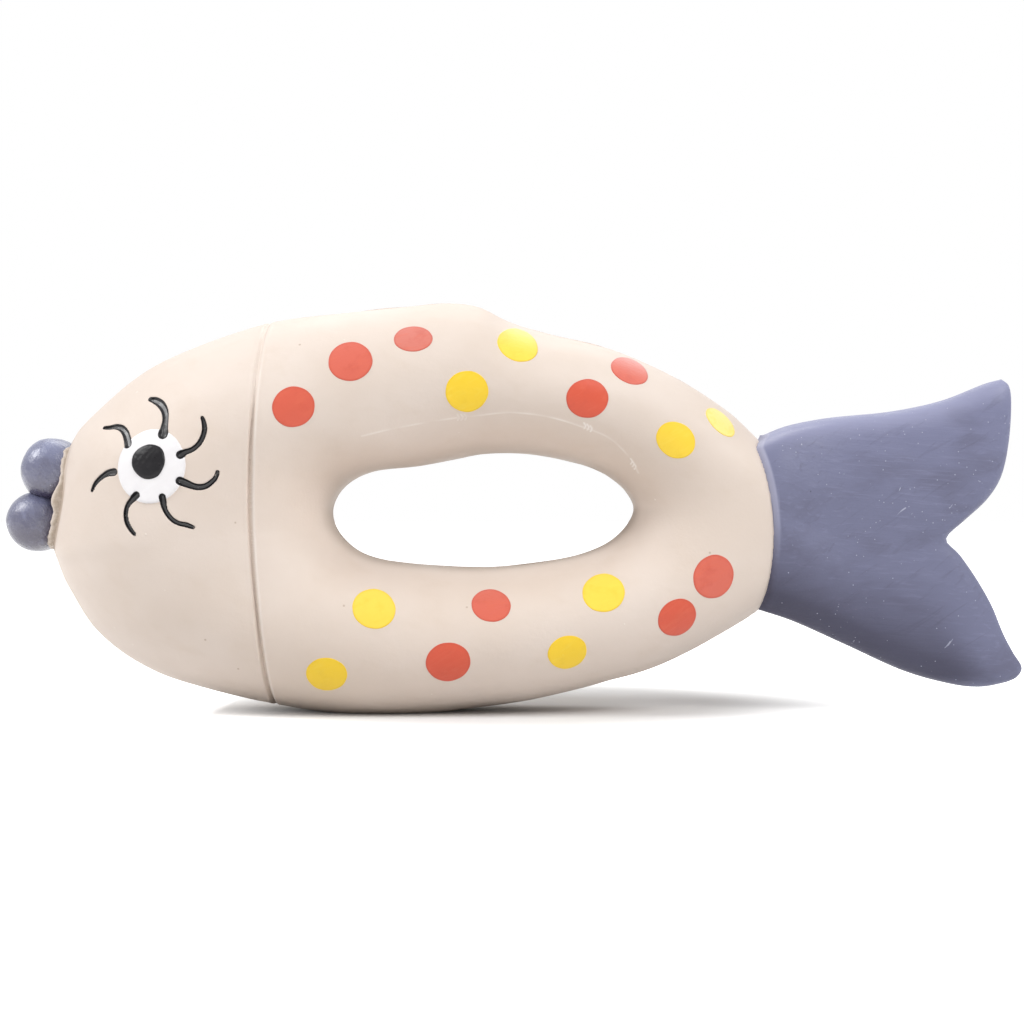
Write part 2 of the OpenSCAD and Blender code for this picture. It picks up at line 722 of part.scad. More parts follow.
right_skin();
left_skin();
tail_fin();
mouth_collar();
upper_lip();
lower_lip();
left_eye_white();
left_pupil();
left_lashes();
left_red_dots();
left_yellow_dots();
right_eye_white();
right_pupil();
right_lashes();
right_red_dots();
right_yellow_dots();
squeaker_body();
reed_bed();
reed_clamp();
reed();
squeaker_cap();
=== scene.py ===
"""Looks of the squeaky rubber fish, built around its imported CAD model."""
import math

import bmesh
import bpy
import numpy as np
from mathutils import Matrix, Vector


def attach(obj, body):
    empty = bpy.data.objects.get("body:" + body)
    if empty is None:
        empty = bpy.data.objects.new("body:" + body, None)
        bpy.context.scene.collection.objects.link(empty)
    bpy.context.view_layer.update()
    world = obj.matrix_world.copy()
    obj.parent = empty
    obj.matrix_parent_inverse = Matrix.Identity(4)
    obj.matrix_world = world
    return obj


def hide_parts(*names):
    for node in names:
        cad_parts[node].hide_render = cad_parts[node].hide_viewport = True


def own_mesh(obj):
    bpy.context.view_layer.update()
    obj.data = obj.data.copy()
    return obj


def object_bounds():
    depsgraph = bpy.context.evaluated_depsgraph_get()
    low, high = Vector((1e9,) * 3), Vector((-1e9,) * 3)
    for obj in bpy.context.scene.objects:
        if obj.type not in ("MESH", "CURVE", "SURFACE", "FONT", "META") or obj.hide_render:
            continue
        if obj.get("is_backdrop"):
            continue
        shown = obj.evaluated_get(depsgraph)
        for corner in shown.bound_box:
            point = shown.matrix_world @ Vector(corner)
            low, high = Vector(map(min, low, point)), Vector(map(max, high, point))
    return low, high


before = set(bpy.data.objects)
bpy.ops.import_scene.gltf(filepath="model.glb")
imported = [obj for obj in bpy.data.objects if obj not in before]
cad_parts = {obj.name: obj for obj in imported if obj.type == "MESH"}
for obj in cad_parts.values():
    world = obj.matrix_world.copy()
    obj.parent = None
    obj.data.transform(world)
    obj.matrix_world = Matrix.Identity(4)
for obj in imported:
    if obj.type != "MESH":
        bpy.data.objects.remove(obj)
cad_box = [list(map(float, corner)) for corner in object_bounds()]
scene = bpy.context.scene

# Sizes in millimetres, measured from the mouth seat (x), the parting plane (y) and the belly (z).
SHIFT = np.array([-73.7558, 0.0, 0.0])
BODY_LEN, BODY_H = 116.0, 66.0
HALF_L, HALF_H = BODY_LEN / 2, BODY_H / 2
HEAD_W, TUBE_W, REAR_W, WALL = 38.0, 30.0, 20.0, 2.2
HOLE_LEN, HOLE_H, HOLE_X, HOLE_Z = 48.7, 18.7, 69.0, 32.5
GILL_TOP, GILL_MID, GILL_LOW, GILL_DEEP = 34.5, 33.1, 35.4, 0.72
TAIL_LEN, TAIL_H, TAIL_Z, ROOT_R = 40.0, 50.0, 3.9, 42.0
TAIL_ROOT_W, TAIL_TIP_W = 17.5, 7.0
ROOT_AHEAD, ROOT_DROP, ROOT_FLARE = 0.95, 0.7, 2.6
LIP_HALF = 6.2
# Each lip: its middle, its reach to the front, back, top and bottom, and its seed
UPPER_LIP = (-1.22, 38.86, 4.6, 6.1, 5.3, 5.03, 1.0)
LOWER_LIP = (-3.33, 30.66, 4.86, 5.0, 4.84, 4.88, 2.0)
# Drop of the lower lip's height share, which darkens its painted shade
LOWER_LIP_SHADE = 0.14
COLLAR_H, COLLAR_W, COLLAR_T = 17.4, 14.0, 1.2
SEAT_SLOPE, SEAT_DEEP = 0.22, 0.3
LEAN, CUFF_POWER = math.radians(8.8), 2.8
MOUTH_Z = 0.525 * BODY_H
EYE_AXES, EYE_T, PUPIL_AXES = (5.5, 5.85), 0.3, (2.7, 2.78)
LASH_DEEP = 0.5
DOT_T = 0.1
# The photograph's eye: its place along and over the toy, and how far it is from the parting plane
VIEW_X, VIEW_Z, VIEW_FAR = 73.556, 32.2, 340.0

BODY_SHARES = [
    (1.055, 0.47), (1.03, 0.585), (0.975, 0.67), (0.935, 0.735), (0.865, 0.815), (0.775, 0.885),
    (0.685, 0.925), (0.63, 0.955), (0.59, 0.99), (0.555, 1), (0.52, 0.998), (0.465, 0.988),
    (0.395, 0.975), (0.305, 0.955), (0.22, 0.91), (0.13, 0.84), (0.06, 0.74), (0.015, 0.645),
    (0, 0.525), (-0.008, 0.408), (0.0035, 0.356), (0.02, 0.295), (0.06, 0.19), (0.13, 0.105), (0.22, 0.05),
    (0.31, 0.015), (0.41, -0.010), (0.495, -0.010), (0.575, 0.006), (0.66, 0.028), (0.755, 0.068),
    (0.835, 0.109), (0.91, 0.174), (0.985, 0.255), (1.035, 0.34)]
HOLE_SHARES = [
    (0.5, 0), (0.465, 0.19), (0.385, 0.34), (0.275, 0.435), (0.14, 0.495), (0.005, 0.495),
    (-0.095, 0.445), (-0.21, 0.388), (-0.368, 0.338), (-0.46, 0.216), (-0.504, 0), (-0.47, -0.233),
    (-0.368, -0.41), (-0.176, -0.48), (0.01, -0.495), (0.19, -0.45), (0.355, -0.355), (0.455, -0.2)]
TAIL_TOP = [
    (-0.04, 0.815), (0.065, 0.847), (0.23, 0.872), (0.475, 0.892), (0.68, 0.927), (0.85, 0.98), (0.925, 0.997)]
TAIL_BOTTOM = [
    (-0.04, 0.25), (0.105, 0.21), (0.31, 0.135), (0.535, 0.052), (0.72, 0.009), (0.84, -0.002), (0.94, 0.012)]
TAIL_REAR = [
    (0.94, 0.012), (0.985, 0.031), (1.004, 0.064), (0.967, 0.113), (0.925, 0.177), (0.88, 0.264), (0.82, 0.348),
    (0.75, 0.428), (0.695, 0.479), (0.765, 0.536), (0.86, 0.606), (0.92, 0.683), (0.95, 0.79), (0.961, 0.91),
    (0.954, 0.972), (0.925, 0.997)]
EYE_AT, PUPIL_AT = (17.95, 39.35), (17.62, 39.92)
# Each dot as it is seen from the side: place back and up, half axes, tilt, share of a paler colour, painted sheen on
# the upper dots
RED_DOTS = [
    (57.51, 60.31, 3.15, 2.08, 3, 0.5), (47.31, 56.64, 3.62, 3.15, 7, 0.2), (92.61, 55.07, 3.22, 1.95, -25, 0.15),
    (85.78, 50.63, 3.43, 3.2, 2, 0), (38.06, 49.28, 3.52, 3.28, 21, 0.1), (106.28, 21.71, 3.62, 3.25, 67, 0.25),
    (70.16, 17, 3.22, 2.65, -9, 0.2), (100.34, 15.1, 3.35, 2.78, 43, 0), (63.18, 7.84, 3.64, 3.18, 6, 0)]
YELLOW_DOTS = [
    (74.47, 59.3, 3.41, 2.6, -23, 0.1), (66.23, 51.8, 3.52, 3.33, 3, 0), (107.35, 46.72, 3.05, 1.35, -45, 0.6),
    (100.14, 43.88, 3.31, 2.87, -35, 0.05), (88.43, 19.08, 3.49, 3.13, 4, 0.12), (51.13, 16.48, 3.54, 3.25, -17, 0.15),
    (82.52, 9.45, 3.25, 2.61, 18, 0), (43.45, 5.86, 3.38, 2.65, -3, 0)]
# Each lash, from the pad on the eye to the tip: place back and up, half width
LASHES = [
    [(19.81, 44.18, 0.83), (19.83, 45.12, 0.65), (19.95, 46.49, 0.51), (19.73, 47.88, 0.6), (18.97, 48.99, 0.68),
     (17.95, 49.63, 0.62), (17.15, 49.85, 0.44)],
    [(22.69, 40.99, 0.69), (23.34, 41.41, 0.49), (24.3, 41.76, 0.41), (25.25, 42.48, 0.4), (25.95, 43.63, 0.4),
     (26.25, 44.89, 0.4), (26.11, 45.96, 0.35), (25.84, 46.74, 0.28)],
    [(22.67, 36.94, 0.67), (23.59, 36.57, 0.61), (24.55, 36.19, 0.52), (25.5, 36.02, 0.49), (26.53, 36.19, 0.46),
     (27.47, 36.85, 0.4), (28.09, 37.58, 0.34), (28.32, 38.34, 0.28)],
    [(19.96, 34.46, 0.55), (20.09, 33.44, 0.48), (20.38, 32.49, 0.38), (20.96, 31.57, 0.37), (21.69, 30.86, 0.37),
     (22.56, 30.44, 0.37), (23.6, 30.22, 0.4), (24.55, 29.86, 0.31)],
    [(15.84, 34.74, 0.6), (15.09, 34.08, 0.49), (14.47, 33.35, 0.4), (14.14, 32.39, 0.37), (14.14, 31.24, 0.37),
     (14.44, 30.28, 0.37), (14.98, 29.42, 0.34), (15.5, 28.82, 0.29)],
    [(11.95, 38.38, 0.63), (11.04, 38.24, 0.56), (10.18, 37.82, 0.46), (9.33, 37.18, 0.4), (8.69, 36.47, 0.37),
     (8.26, 35.6, 0.3)],
    [(14.18, 42.64, 0.71), (13.89, 43.63, 0.64), (13.42, 44.62, 0.61), (12.61, 45.34, 0.56), (11.59, 45.56, 0.5),
     (10.6, 45.45, 0.41), (9.62, 45.45, 0.3)]]
# Front edge of the mouth's cuff: height over the mouth's middle, reach in front of its seat
CUFF = [
    (-8.8, 1.15), (-8.14, 1.17), (-7.66, 1.1), (-6.69, 0.82), (-5.59, 0.64), (-4.48, 0.53), (-3.38, 0.42),
    (-2.66, 0.31), (-2.05, 0.48), (-1.59, 0.89), (-1.16, 1.02), (-0.24, 0.93), (0.49, 0.77), (1.25, 0.55),
    (2.1, 0.26), (2.75, 0.13), (3.46, 0.16), (4.35, 0.31), (5.32, 0.47), (6.14, 0.48), (6.79, 0.49), (7.49, 0.73),
    (7.99, 0.6), (8.27, 0.06), (8.8, -0.4)]


# Curves and the surface of the skin

def cubic(p0, p1, p2, p3, t):
    return (p1 + (p2 - p0) * t / 2 + (2 * p0 - 5 * p1 + 4 * p2 - p3) * t * t / 2
            + (3 * p1 - p0 - 3 * p2 + p3) * t ** 3 / 2)


def closed_curve(points, steps):
    p = np.array(points, float)
    m = len(p)
    return np.array([cubic(p[i - 1], p[i], p[(i + 1) % m], p[(i + 2) % m], k / steps)
                     for i in range(m) for k in range(steps)])


def open_curve(points, t):
    p = np.array(points, float)
    m = len(p) - 1
    p = np.vstack([2 * p[0] - p[1], p, 2 * p[m] - p[m - 1]])
    t = np.asarray(t, float)
    i = np.minimum(np.floor(t * m).astype(int), m - 1)
    f = (t * m - i)[..., None]
    return cubic(p[i], p[i + 1], p[i + 2], p[i + 3], f)


def reach_table(points):
    """Angles round the hole's middle and distances from it, as shares of the body's half sizes."""
    u = (points[:, 0] - HOLE_X) / HALF_L
    w = (points[:, 1] - HOLE_Z) / HALF_H
    a = np.mod(np.arctan2(w, u), 2 * math.pi)
    r = np.hypot(u, w)
    order = np.argsort(a)
    a, r = a[order], r[order]
    return (np.concatenate([a[-9:] - 2 * math.pi, a, a[:9] + 2 * math.pi]),
            np.concatenate([r[-9:], r, r[:9]]))


BODY_REACH = reach_table(closed_curve(np.array(BODY_SHARES) * [BODY_LEN, BODY_H], 16))
HOLE_REACH = reach_table(closed_curve(
    np.array(HOLE_SHARES) * [HOLE_LEN, HOLE_H] + [HOLE_X, HOLE_Z], 24))


def reach(table, a):
    return np.interp(np.mod(a, 2 * math.pi), *table)


def mix(a, b, t):
    return a + (b - a) * t


def smooth(low, high, x):
    t = np.clip((x - low) / (high - low), 0, 1)
    return t * t * (3 - 2 * t)


def half_w(a):
    """Half the thickness of the ring at an angle round the hole."""
    c = np.cos(a)
    return mix(TUBE_W, np.where(c < 0, HEAD_W, REAR_W), c * c) / 2


def root_x(z):
    """Where the body ends and the tail begins, at a height."""
    dz = z - TAIL_Z - TAIL_H / 2 + ROOT_DROP
    return BODY_LEN - ROOT_AHEAD + np.sqrt(ROOT_R ** 2 - dz ** 2) - ROOT_R + ROOT_FLARE * smooth(42, 45, z)


def seat_x(z):
    """The flat under the mouth's cuff, at a height."""
    return (z - MOUTH_Z) * SEAT_SLOPE + COLLAR_T - SEAT_DEEP


def skin(a, v, inset=0.0):
    """Points of the left skin: a is the angle round the hole, v runs from the outer edge to the hole."""
    a, v = np.broadcast_arrays(np.asarray(a, float), np.asarray(v, float))
    dx, dz = HALF_L * np.cos(a), HALF_H * np.sin(a)
    w = inset / np.hypot(dx, dz)
    outer, inner = reach(BODY_REACH, a) - w, reach(HOLE_REACH, a) + w
    r = (outer + inner) / 2 + (outer - inner) / 2 * np.cos(v)
    x, y, z = HOLE_X + r * dx, -(half_w(a) - inset) * np.sin(v), HOLE_Z + r * dz
    z = np.maximum(z, inset)
    x = np.maximum(np.minimum(x, root_x(z) - inset), seat_x(z) + inset)
    return np.stack([x, y, z], -1)


def slopes(a, v):
    e = 0.006
    sa = (skin(a + e, v) - skin(a - e, v)) / (2 * e)
    sv = (skin(a, v + e) - skin(a, v - e)) / (2 * e)
    n = np.cross(sa, sv)
    n /= np.maximum(np.linalg.norm(n, axis=-1, keepdims=True), 1e-9)
    mid = skin(a, np.full_like(np.asarray(v, float), math.pi / 2))
    mid[..., 1] = 0
    sign = np.sign(np.sum(n * (skin(a, v) - mid), -1, keepdims=True))
    return sa, sv, n * np.where(sign == 0, 1, sign)


def angles_at(x, z):
    """Angles of the skin's point at a place on the side view."""
    u, w = (x - HOLE_X) / HALF_L, (z - HOLE_Z) / HALF_H
    a = np.arctan2(w, u)
    outer, inner = reach(BODY_REACH, a), reach(HOLE_REACH, a)
    c = (np.hypot(u, w) - (outer + inner) / 2) / ((outer - inner) / 2)
    return a, np.arccos(np.clip(c, -1, 1))


def seen(x, z):
    """Angles of the skin's points that are seen at a place on the parting plane by the photograph's eye."""
    px, pz = x, z
    for _ in range(6):
        k = 1 + skin(*angles_at(px, pz))[..., 1] / VIEW_FAR
        px, pz = VIEW_X + (x - VIEW_X) * k, VIEW_Z + (z - VIEW_Z) * k
    return angles_at(px, pz)


def basis(a, v):
    """Directions on the skin: back and up, and the slopes and normal they come from."""
    sa, sv, n = slopes(a, v)
    t = np.array([1.0, 0, 0]) - n * n[..., :1]
    t /= np.linalg.norm(t, axis=-1, keepdims=True)
    return sa, sv, n, t, np.cross(n, t)


def dot(p, q):
    return np.sum(p * q, -1)


def moved(a, v, dx, dz):
    """Angles of the points that lie dx back and dz up from (a, v), measured along the skin."""
    sa, sv, _, t, b = basis(a, v)
    det = dot(sa, t) * dot(sv, b) - dot(sv, t) * dot(sa, b)
    return (a + (dx * dot(sv, b) - dz * dot(sv, t)) / det,
            v + (dz * dot(sa, t) - dx * dot(sa, b)) / det)


def calm(p):
    """Share of the surface's own unevenness: none on the belly's flat or at the tail's root."""
    return smooth(0.0, 1.2, p[..., 2]) * (1 - smooth(-1.2, -0.2, p[..., 0] - root_x(p[..., 2])))


def uneven(p, seed):
    return (0.10 * wave(p, 34.0, seed) + 0.035 * wave(p, 11.0, seed + 4)) * calm(p)


def lifted(a, v, height, seed):
    p = skin(a, v)
    return p + slopes(a, v)[2] * (np.asarray(height) + uneven(p, seed))[..., None]


def wave(p, size, seed):
    """Smooth wobble between about -1 and 1 with features of the given size."""
    k = 2 * math.pi / size
    x, y, z = p[..., 0], p[..., 1], p[..., 2]
    s = seed * 1.7
    return (np.sin(k * (x + 0.3 * z) + s) * np.sin(k * (0.8 * z - 0.4 * y) + 2.1 * s)
            + np.sin(k * (0.7 * y + 0.6 * x) + 3.3 * s) * np.sin(k * (0.5 * x - 0.9 * z) + 0.7 * s)) / 2


def nearest(points, path, limit=3.0):
    """Distance to the nearest sample of a path, and that sample's number; points well off the path count as far."""
    far, which = np.full(len(points), 99.0), np.zeros(len(points), int)
    near = np.nonzero(np.all((points > path.min(0) - limit) & (points < path.max(0) + limit), axis=1))[0]
    for i in range(0, len(near), 4000):
        part = near[i:i + 4000]
        d = ((points[part, None, :] - path[None]) ** 2).sum(-1)
        which[part] = d.argmin(1)
        far[part] = np.sqrt(d.min(1))
    return far, which


# Lines on the skin: gill groove, lash grooves, mould line

def gill_ends():
    ends = []
    for side, end in ((1, GILL_TOP), (-1, GILL_LOW)):
        low, high = math.pi / 2, math.pi
        for _ in range(40):
            mid = (low + high) / 2
            if skin(side * mid, 0.0)[0] < end:
                high = mid
            else:
                low = mid
        ends.append(side * low)
    return ends[0], ends[1] + 2 * math.pi


def gill_line(n=420):
    top, bottom = gill_ends()
    t = (1 - np.cos(np.linspace(0, math.pi, n))) / 2
    a = mix(top, bottom, t)
    x = (GILL_MID + (GILL_TOP - GILL_MID) * np.clip(1 - t / 0.45, 0, 1) ** 2
         + (GILL_LOW - GILL_MID) * np.clip((t - 0.48) / 0.52, 0, 1) ** 1.8)
    outer, inner = reach(BODY_REACH, a), reach(HOLE_REACH, a)
    r = (x - HOLE_X) / (HALF_L * np.cos(a))
    c = (r - (outer + inner) / 2) / ((outer - inner) / 2)
    return np.stack([x, -half_w(a) * np.sqrt(np.maximum(1 - c * c, 0)), HOLE_Z + r * HALF_H * np.sin(a)], -1)


EYE_A, EYE_V = angles_at(*EYE_AT)
EYE_POINT = skin(EYE_A, EYE_V)
EYE_BASIS = basis(EYE_A, EYE_V)[3:]


def eye_share(points):
    """Distance from the eye's middle as a share of its radius."""
    d = points - EYE_POINT
    return np.hypot(dot(d, EYE_BASIS[0]) / EYE_AXES[0], dot(d, EYE_BASIS[1]) / EYE_AXES[1])


def lash_path(row, n=44):
    """Angles on the skin and half widths along one lash."""
    line = open_curve(row, np.linspace(0, 1, n))
    return (*angles_at(line[:, 0], line[:, 1]), line[:, 2])


LASH_PATHS = [lash_path(row) for row in LASHES]
LASH_POINTS = np.concatenate([skin(a, v) for a, v, _ in LASH_PATHS])
LASH_HALVES = np.concatenate([half for _, _, half in LASH_PATHS])
GILL = gill_line()


def lash_groove(points):
    """Share of a lash groove's depth, from 1 along its middle to 0 past its edge."""
    d, i = nearest(points, LASH_POINTS)
    return 1 - smooth(0.4, 1.1, d / LASH_HALVES[i])


def gill_offset(points):
    """Distance behind the gill line, negative in front of it."""
    d, i = nearest(points, GILL)
    return d * np.sign(points[:, 0] - GILL[i, 0])


def side_line(pairs, n=260):
    """Points of the skin under a smooth line drawn on the side view, in millimetres back and up."""
    line = open_curve(pairs, np.linspace(0, 1, n))
    return skin(*angles_at(line[:, 0], line[:, 1]))


# The mould line above the grip hole, and short creases across it
MOULD = side_line([(50.2, 44.0), (56.0, 45.4), (62.5, 46.6), (68.0, 47.3), (73.6, 47.7), (79.0, 47.1), (84.0, 45.7),
                   (88.8, 43.8), (92.3, 40.6), (93.6, 38.4)])
CREASES = [
    side_line([(x - 0.2, z + 0.42), (x + 0.06, z), (x - 0.14, z - 0.42)], 10)
    for x, z in ((65.2, 47.0), (65.75, 47.05), (66.3, 47.1), (85.0, 45.7), (85.5, 45.5), (86.0, 45.25),
                 (92.5, 40.2), (92.8, 39.8), (93.1, 39.4))]
CREASES = np.concatenate(CREASES)


def from_mouth(up, across, out):
    return np.stack([COLLAR_T + up * math.sin(LEAN) - out * math.cos(LEAN), across,
                     MOUTH_Z + up * math.cos(LEAN) + out * math.sin(LEAN)], -1)


def mouth_crease(points):
    """Share of the crease where the skin meets the mouth's cuff, stronger under the lips."""
    x, z = points[..., 0] - COLLAR_T, points[..., 2] - MOUTH_Z
    up, out = x * math.sin(LEAN) + z * math.cos(LEAN), z * math.sin(LEAN) - x * math.cos(LEAN)
    ring = (np.abs(2 * up / COLLAR_H) ** CUFF_POWER
            + np.abs(2 * points[..., 1] / COLLAR_W) ** CUFF_POWER) ** (1 / CUFF_POWER)
    return (1 - smooth(1.1, 1.34, ring)) * smooth(-6.0, -3.0, out) * (1 - 0.55 * smooth(-2.0, 5.0, up))


# Meshes

def material_of(obj, material):
    obj.data.materials.clear()
    obj.data.materials.append(material)


def mesh_from(name, verts, faces):
    """A mesh from points in millimetres, with its normals facing out."""
    mesh = bpy.data.meshes.new(name)
    mesh.from_pydata(((np.asarray(verts, float) + SHIFT) / 1000).tolist(), [], [list(map(int, f)) for f in faces])
    mesh.validate()
    bm = bmesh.new()
    bm.from_mesh(mesh)
    bmesh.ops.recalc_face_normals(bm, faces=bm.faces)
    bm.to_mesh(mesh)
    bm.free()
    return mesh


def add_mesh(name, verts, faces, edge, material, body, node, slot, sharp):
    """A smooth piece from points in millimetres, riding on a CAD body and standing for a CAD node."""
    mesh = mesh_from(name, verts, faces)
    mesh.polygons.foreach_set("use_smooth", [True] * len(mesh.polygons))
    mesh.set_sharp_from_angle(angle=math.radians(sharp))
    set_attribute(mesh, "edge", edge)
    obj = bpy.data.objects.new(name, mesh)
    scene.collection.objects.link(obj)
    material_of(obj, material)
    return settle(obj, body, node)


def settle(obj, body, node):
    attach(obj, body)
    if body == "left_side":
        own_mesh(obj)
    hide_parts(node)
    return obj


def set_attribute(mesh, name, values):
    layer = mesh.attributes.get(name) or mesh.attributes.new(name, "FLOAT", "POINT")
    layer.data.foreach_set("value", np.asarray(values, np.float32))


def mirrored(points, side):
    return np.asarray(points) * [1, -side, 1]


def skin_mesh(side, seed):
    """Fine shell of one half of the skin; side is -1 for the left half and 1 for the right."""
    n_a, n_v, n_in = 400, 76, 14
    t = np.linspace(0, 1, n_v + 1)
    v_out = math.pi * (0.62 * t + 0.38 * (1 - np.cos(math.pi * t)) / 2)
    v_in = math.pi * np.linspace(1, 0, n_in + 1)
    a_all = np.arange(n_a) * 2 * math.pi / n_a
    ring_v = np.concatenate([v_out, v_in])
    ring_in = np.concatenate([np.zeros(n_v + 1), np.ones(n_in + 1)])
    k = len(ring_v)
    bm = bmesh.new()
    la = bm.verts.layers.float.new("ang_a")
    lv = bm.verts.layers.float.new("ang_v")
    li = bm.verts.layers.float.new("inner")
    base = np.concatenate([
        np.where(ring_in[:, None] > 0, skin(np.full(k, a), ring_v, WALL), skin(np.full(k, a), ring_v)) for a in a_all])
    verts = []
    for i, a in enumerate(a_all):
        for j in range(k):
            vert = bm.verts.new(base[i * k + j])
            vert[la], vert[lv], vert[li] = a, ring_v[j], ring_in[j]
            verts.append(vert)
    outer_faces, centres = [], []
    for i in range(n_a):
        for j in range(k):
            corners = (i * k + j, i * k + (j + 1) % k, (i + 1) % n_a * k + (j + 1) % k, (i + 1) % n_a * k + j)
            face = bm.faces.new([verts[c] for c in corners])
            if j < n_v:
                outer_faces.append(face)
                centres.append(base[list(corners)].mean(0))
    centres = np.array(centres)
    wanted = ((nearest(centres, GILL)[0] < 1.5) | (nearest(centres, LASH_POINTS)[0] < 1.4)
              | (nearest(centres, MOULD)[0] < 0.8) | (nearest(centres, CREASES)[0] < 1.0)
              | (mouth_crease(centres) > 0.03))
    edges = {e for face, w in zip(outer_faces, wanted) if w for e in face.edges}
    bmesh.ops.subdivide_edges(bm, edges=list(edges), cuts=4, use_grid_fill=True)
    bm.verts.ensure_lookup_table()
    a = np.array([x[la] for x in bm.verts])
    v = np.array([x[lv] for x in bm.verts])
    inner = np.array([x[li] for x in bm.verts]) > 0.5
    points = skin(a, v)
    normals = slopes(a, v)[2]
    gill = gill_offset(points)
    mould = nearest(points, MOULD)[0]
    crease = nearest(points, CREASES)[0]
    lift = -GILL_DEEP * smooth(-0.45, -0.15, gill) * (1 - smooth(0.0, 0.5, gill))
    lift *= mix(0.2, 1, smooth(0, 3.5, -points[:, 1]))
    lift *= 1 - 0.6 * smooth(44, 53, points[:, 2])
    lift += 0.05 * np.exp(-((gill + 0.7) / 0.22) ** 2) + 0.06 * np.exp(-((gill - 0.75) / 0.2) ** 2)
    lift -= 1.2 * LASH_DEEP * lash_groove(points)
    lift -= 0.35 * mouth_crease(points)
    if side < 0:
        lift += 0.03 * np.exp(-(mould / 0.16) ** 2) * (0.5 + 0.5 * wave(points, 5.0, seed))
        lift += 0.05 * np.exp(-(crease / 0.11) ** 2)
    lift += np.exp(-(points[:, 1] / 0.28) ** 2) * (0.07 + 0.05 * wave(points, 9.0, seed + 2))
    out = points + normals * (lift * calm(points) + uneven(points, seed))[:, None]
    out[:, 1] = np.where(np.abs(points[:, 1]) < 1e-6, 0, np.minimum(out[:, 1], 0))
    out[:, 2] = np.maximum(out[:, 2], 0)
    out[inner] = skin(a[inner], v[inner], WALL)
    for vert, p in zip(bm.verts, out * [1, -side, 1]):
        vert.co = (p + SHIFT) / 1000
    bmesh.ops.recalc_face_normals(bm, faces=bm.faces)
    mesh = bpy.data.meshes.new("skin")
    bm.to_mesh(mesh)
    bm.free()
    for name in ("ang_a", "ang_v", "inner"):
        mesh.attributes.remove(mesh.attributes[name])
    mesh.polygons.foreach_set("use_smooth", [True] * len(mesh.polygons))
    return mesh


def mark_skin(mesh, side):
    """Painted shade in the gill groove, the mouth crease and round the grip hole, and a lighter mould line with
    painted highlights, as attributes that its material reads.
    """
    co = np.empty(len(mesh.vertices) * 3, np.float32)
    mesh.vertices.foreach_get("co", co)
    points = (co.reshape(-1, 3).astype(float) * 1000 - SHIFT) * [1, -side, 1]
    gill = gill_offset(points)
    deep = 1 - 0.65 * smooth(44, 53, points[:, 2])
    # Painted shade on the floor of the gill groove
    floor_share = smooth(-0.5, -0.25, gill) * (1 - smooth(-0.05, 0.3, gill)) * deep
    # Painted shade round the grip hole, reaching further out under its upper arch
    under = smooth(HOLE_Z, HOLE_Z + 7, points[:, 2])
    hole = smooth(2.62 - 0.3 * under, 3.12, angles_at(points[:, 0], points[:, 2])[1])
    # Painted shade: gill groove floor, crease at the mouth's cuff and grip hole rim
    set_attribute(mesh, "painted_shade", np.maximum(0.5 * floor_share, np.maximum(mouth_crease(points), 0.85 * hole)))
    # Lighter along the mould line, with painted highlights on its short creases
    pale_and_highlight = 0.75 * np.exp(-(nearest(points, MOULD)[0] / 0.15) ** 2) * (0.5 + 0.5 * wave(points, 6.0, 3.0))
    pale_and_highlight = np.maximum(pale_and_highlight, np.exp(-(nearest(points, CREASES)[0] / 0.12) ** 2))
    # Painted highlight along the gill groove's rear edge
    gill_rear_highlight = 0.35 * np.exp(-((gill - 0.55) / 0.17) ** 2) * deep
    set_attribute(mesh, "pale_and_highlight", np.maximum(pale_and_highlight, gill_rear_highlight) if side < 0 else gill_rear_highlight)


def grid_faces(rows, cols, ring=False):
    """Quads between closed rows of points; in a ring the last row also meets the first."""
    pairs = [(i * cols, (i + 1) % rows * cols) for i in range(rows if ring else rows - 1)]
    return [(p + j, p + (j + 1) % cols, q + (j + 1) % cols, q + j) for p, q in pairs for j in range(cols)]


def disc(spot, outline, height, seed, spokes, shares, under):
    """Closed patch on the left skin: outline gives its rim, spot its place, and height its rise at a share of it."""
    dx, dz = outline(np.arange(spokes) * 2 * math.pi / spokes)
    rings = []
    for s in shares:
        aa, vv = spot(dx * s, dz * s)
        rings.append(lifted(aa, vv, height(np.full(spokes, s), skin(aa, vv)), seed))
    for s in (shares[-1], 0.5):
        aa, vv = spot(dx * s, dz * s)
        rings.append(lifted(aa, vv, np.full(spokes, under), seed))
    middle = spot(np.zeros(1), np.zeros(1))
    top = lifted(*middle, height(np.zeros(1), skin(*middle)), seed)
    low = lifted(*middle, np.full(1, under), seed)
    verts = np.concatenate(rings + [top, low])
    faces = grid_faces(len(rings), spokes)
    n, last = len(verts), (len(rings) - 1) * spokes
    faces += [(n - 2, (j + 1) % spokes, j) for j in range(spokes)]
    faces += [(n - 1, last + j, last + (j + 1) % spokes) for j in range(spokes)]
    edge = np.concatenate([np.repeat(np.append(shares, (1, 1)), spokes), (0, 1)])
    return verts, faces, edge


def ellipse(half, tilt=0.0, waves=(), size=1.0):
    """Rim of a patch: half axes, tilt in degrees and small waves given as (count, share, phase)."""
    c, s = math.cos(math.radians(tilt)), math.sin(math.radians(tilt))

    def rim(t):
        k = size * (1 + sum(share * np.sin(n * t + phase) for n, share, phase in waves))
        x, z = half[0] * np.cos(t) * k, half[1] * np.sin(t) * k
        return c * x - s * z, s * x + c * z

    return rim


def rim_round(s, width):
    """Rise of a patch near its rim, from 0 at the rim to 1 at that share inside it."""
    return np.sqrt(np.clip(1 - np.clip((s - 1 + width) / width, 0, 1) ** 2, 0, 1))


def eye_rise(points):
    r = eye_share(points)
    return EYE_T * rim_round(r, 0.08) - 0.14 * smooth(0.985, 1.03, r)


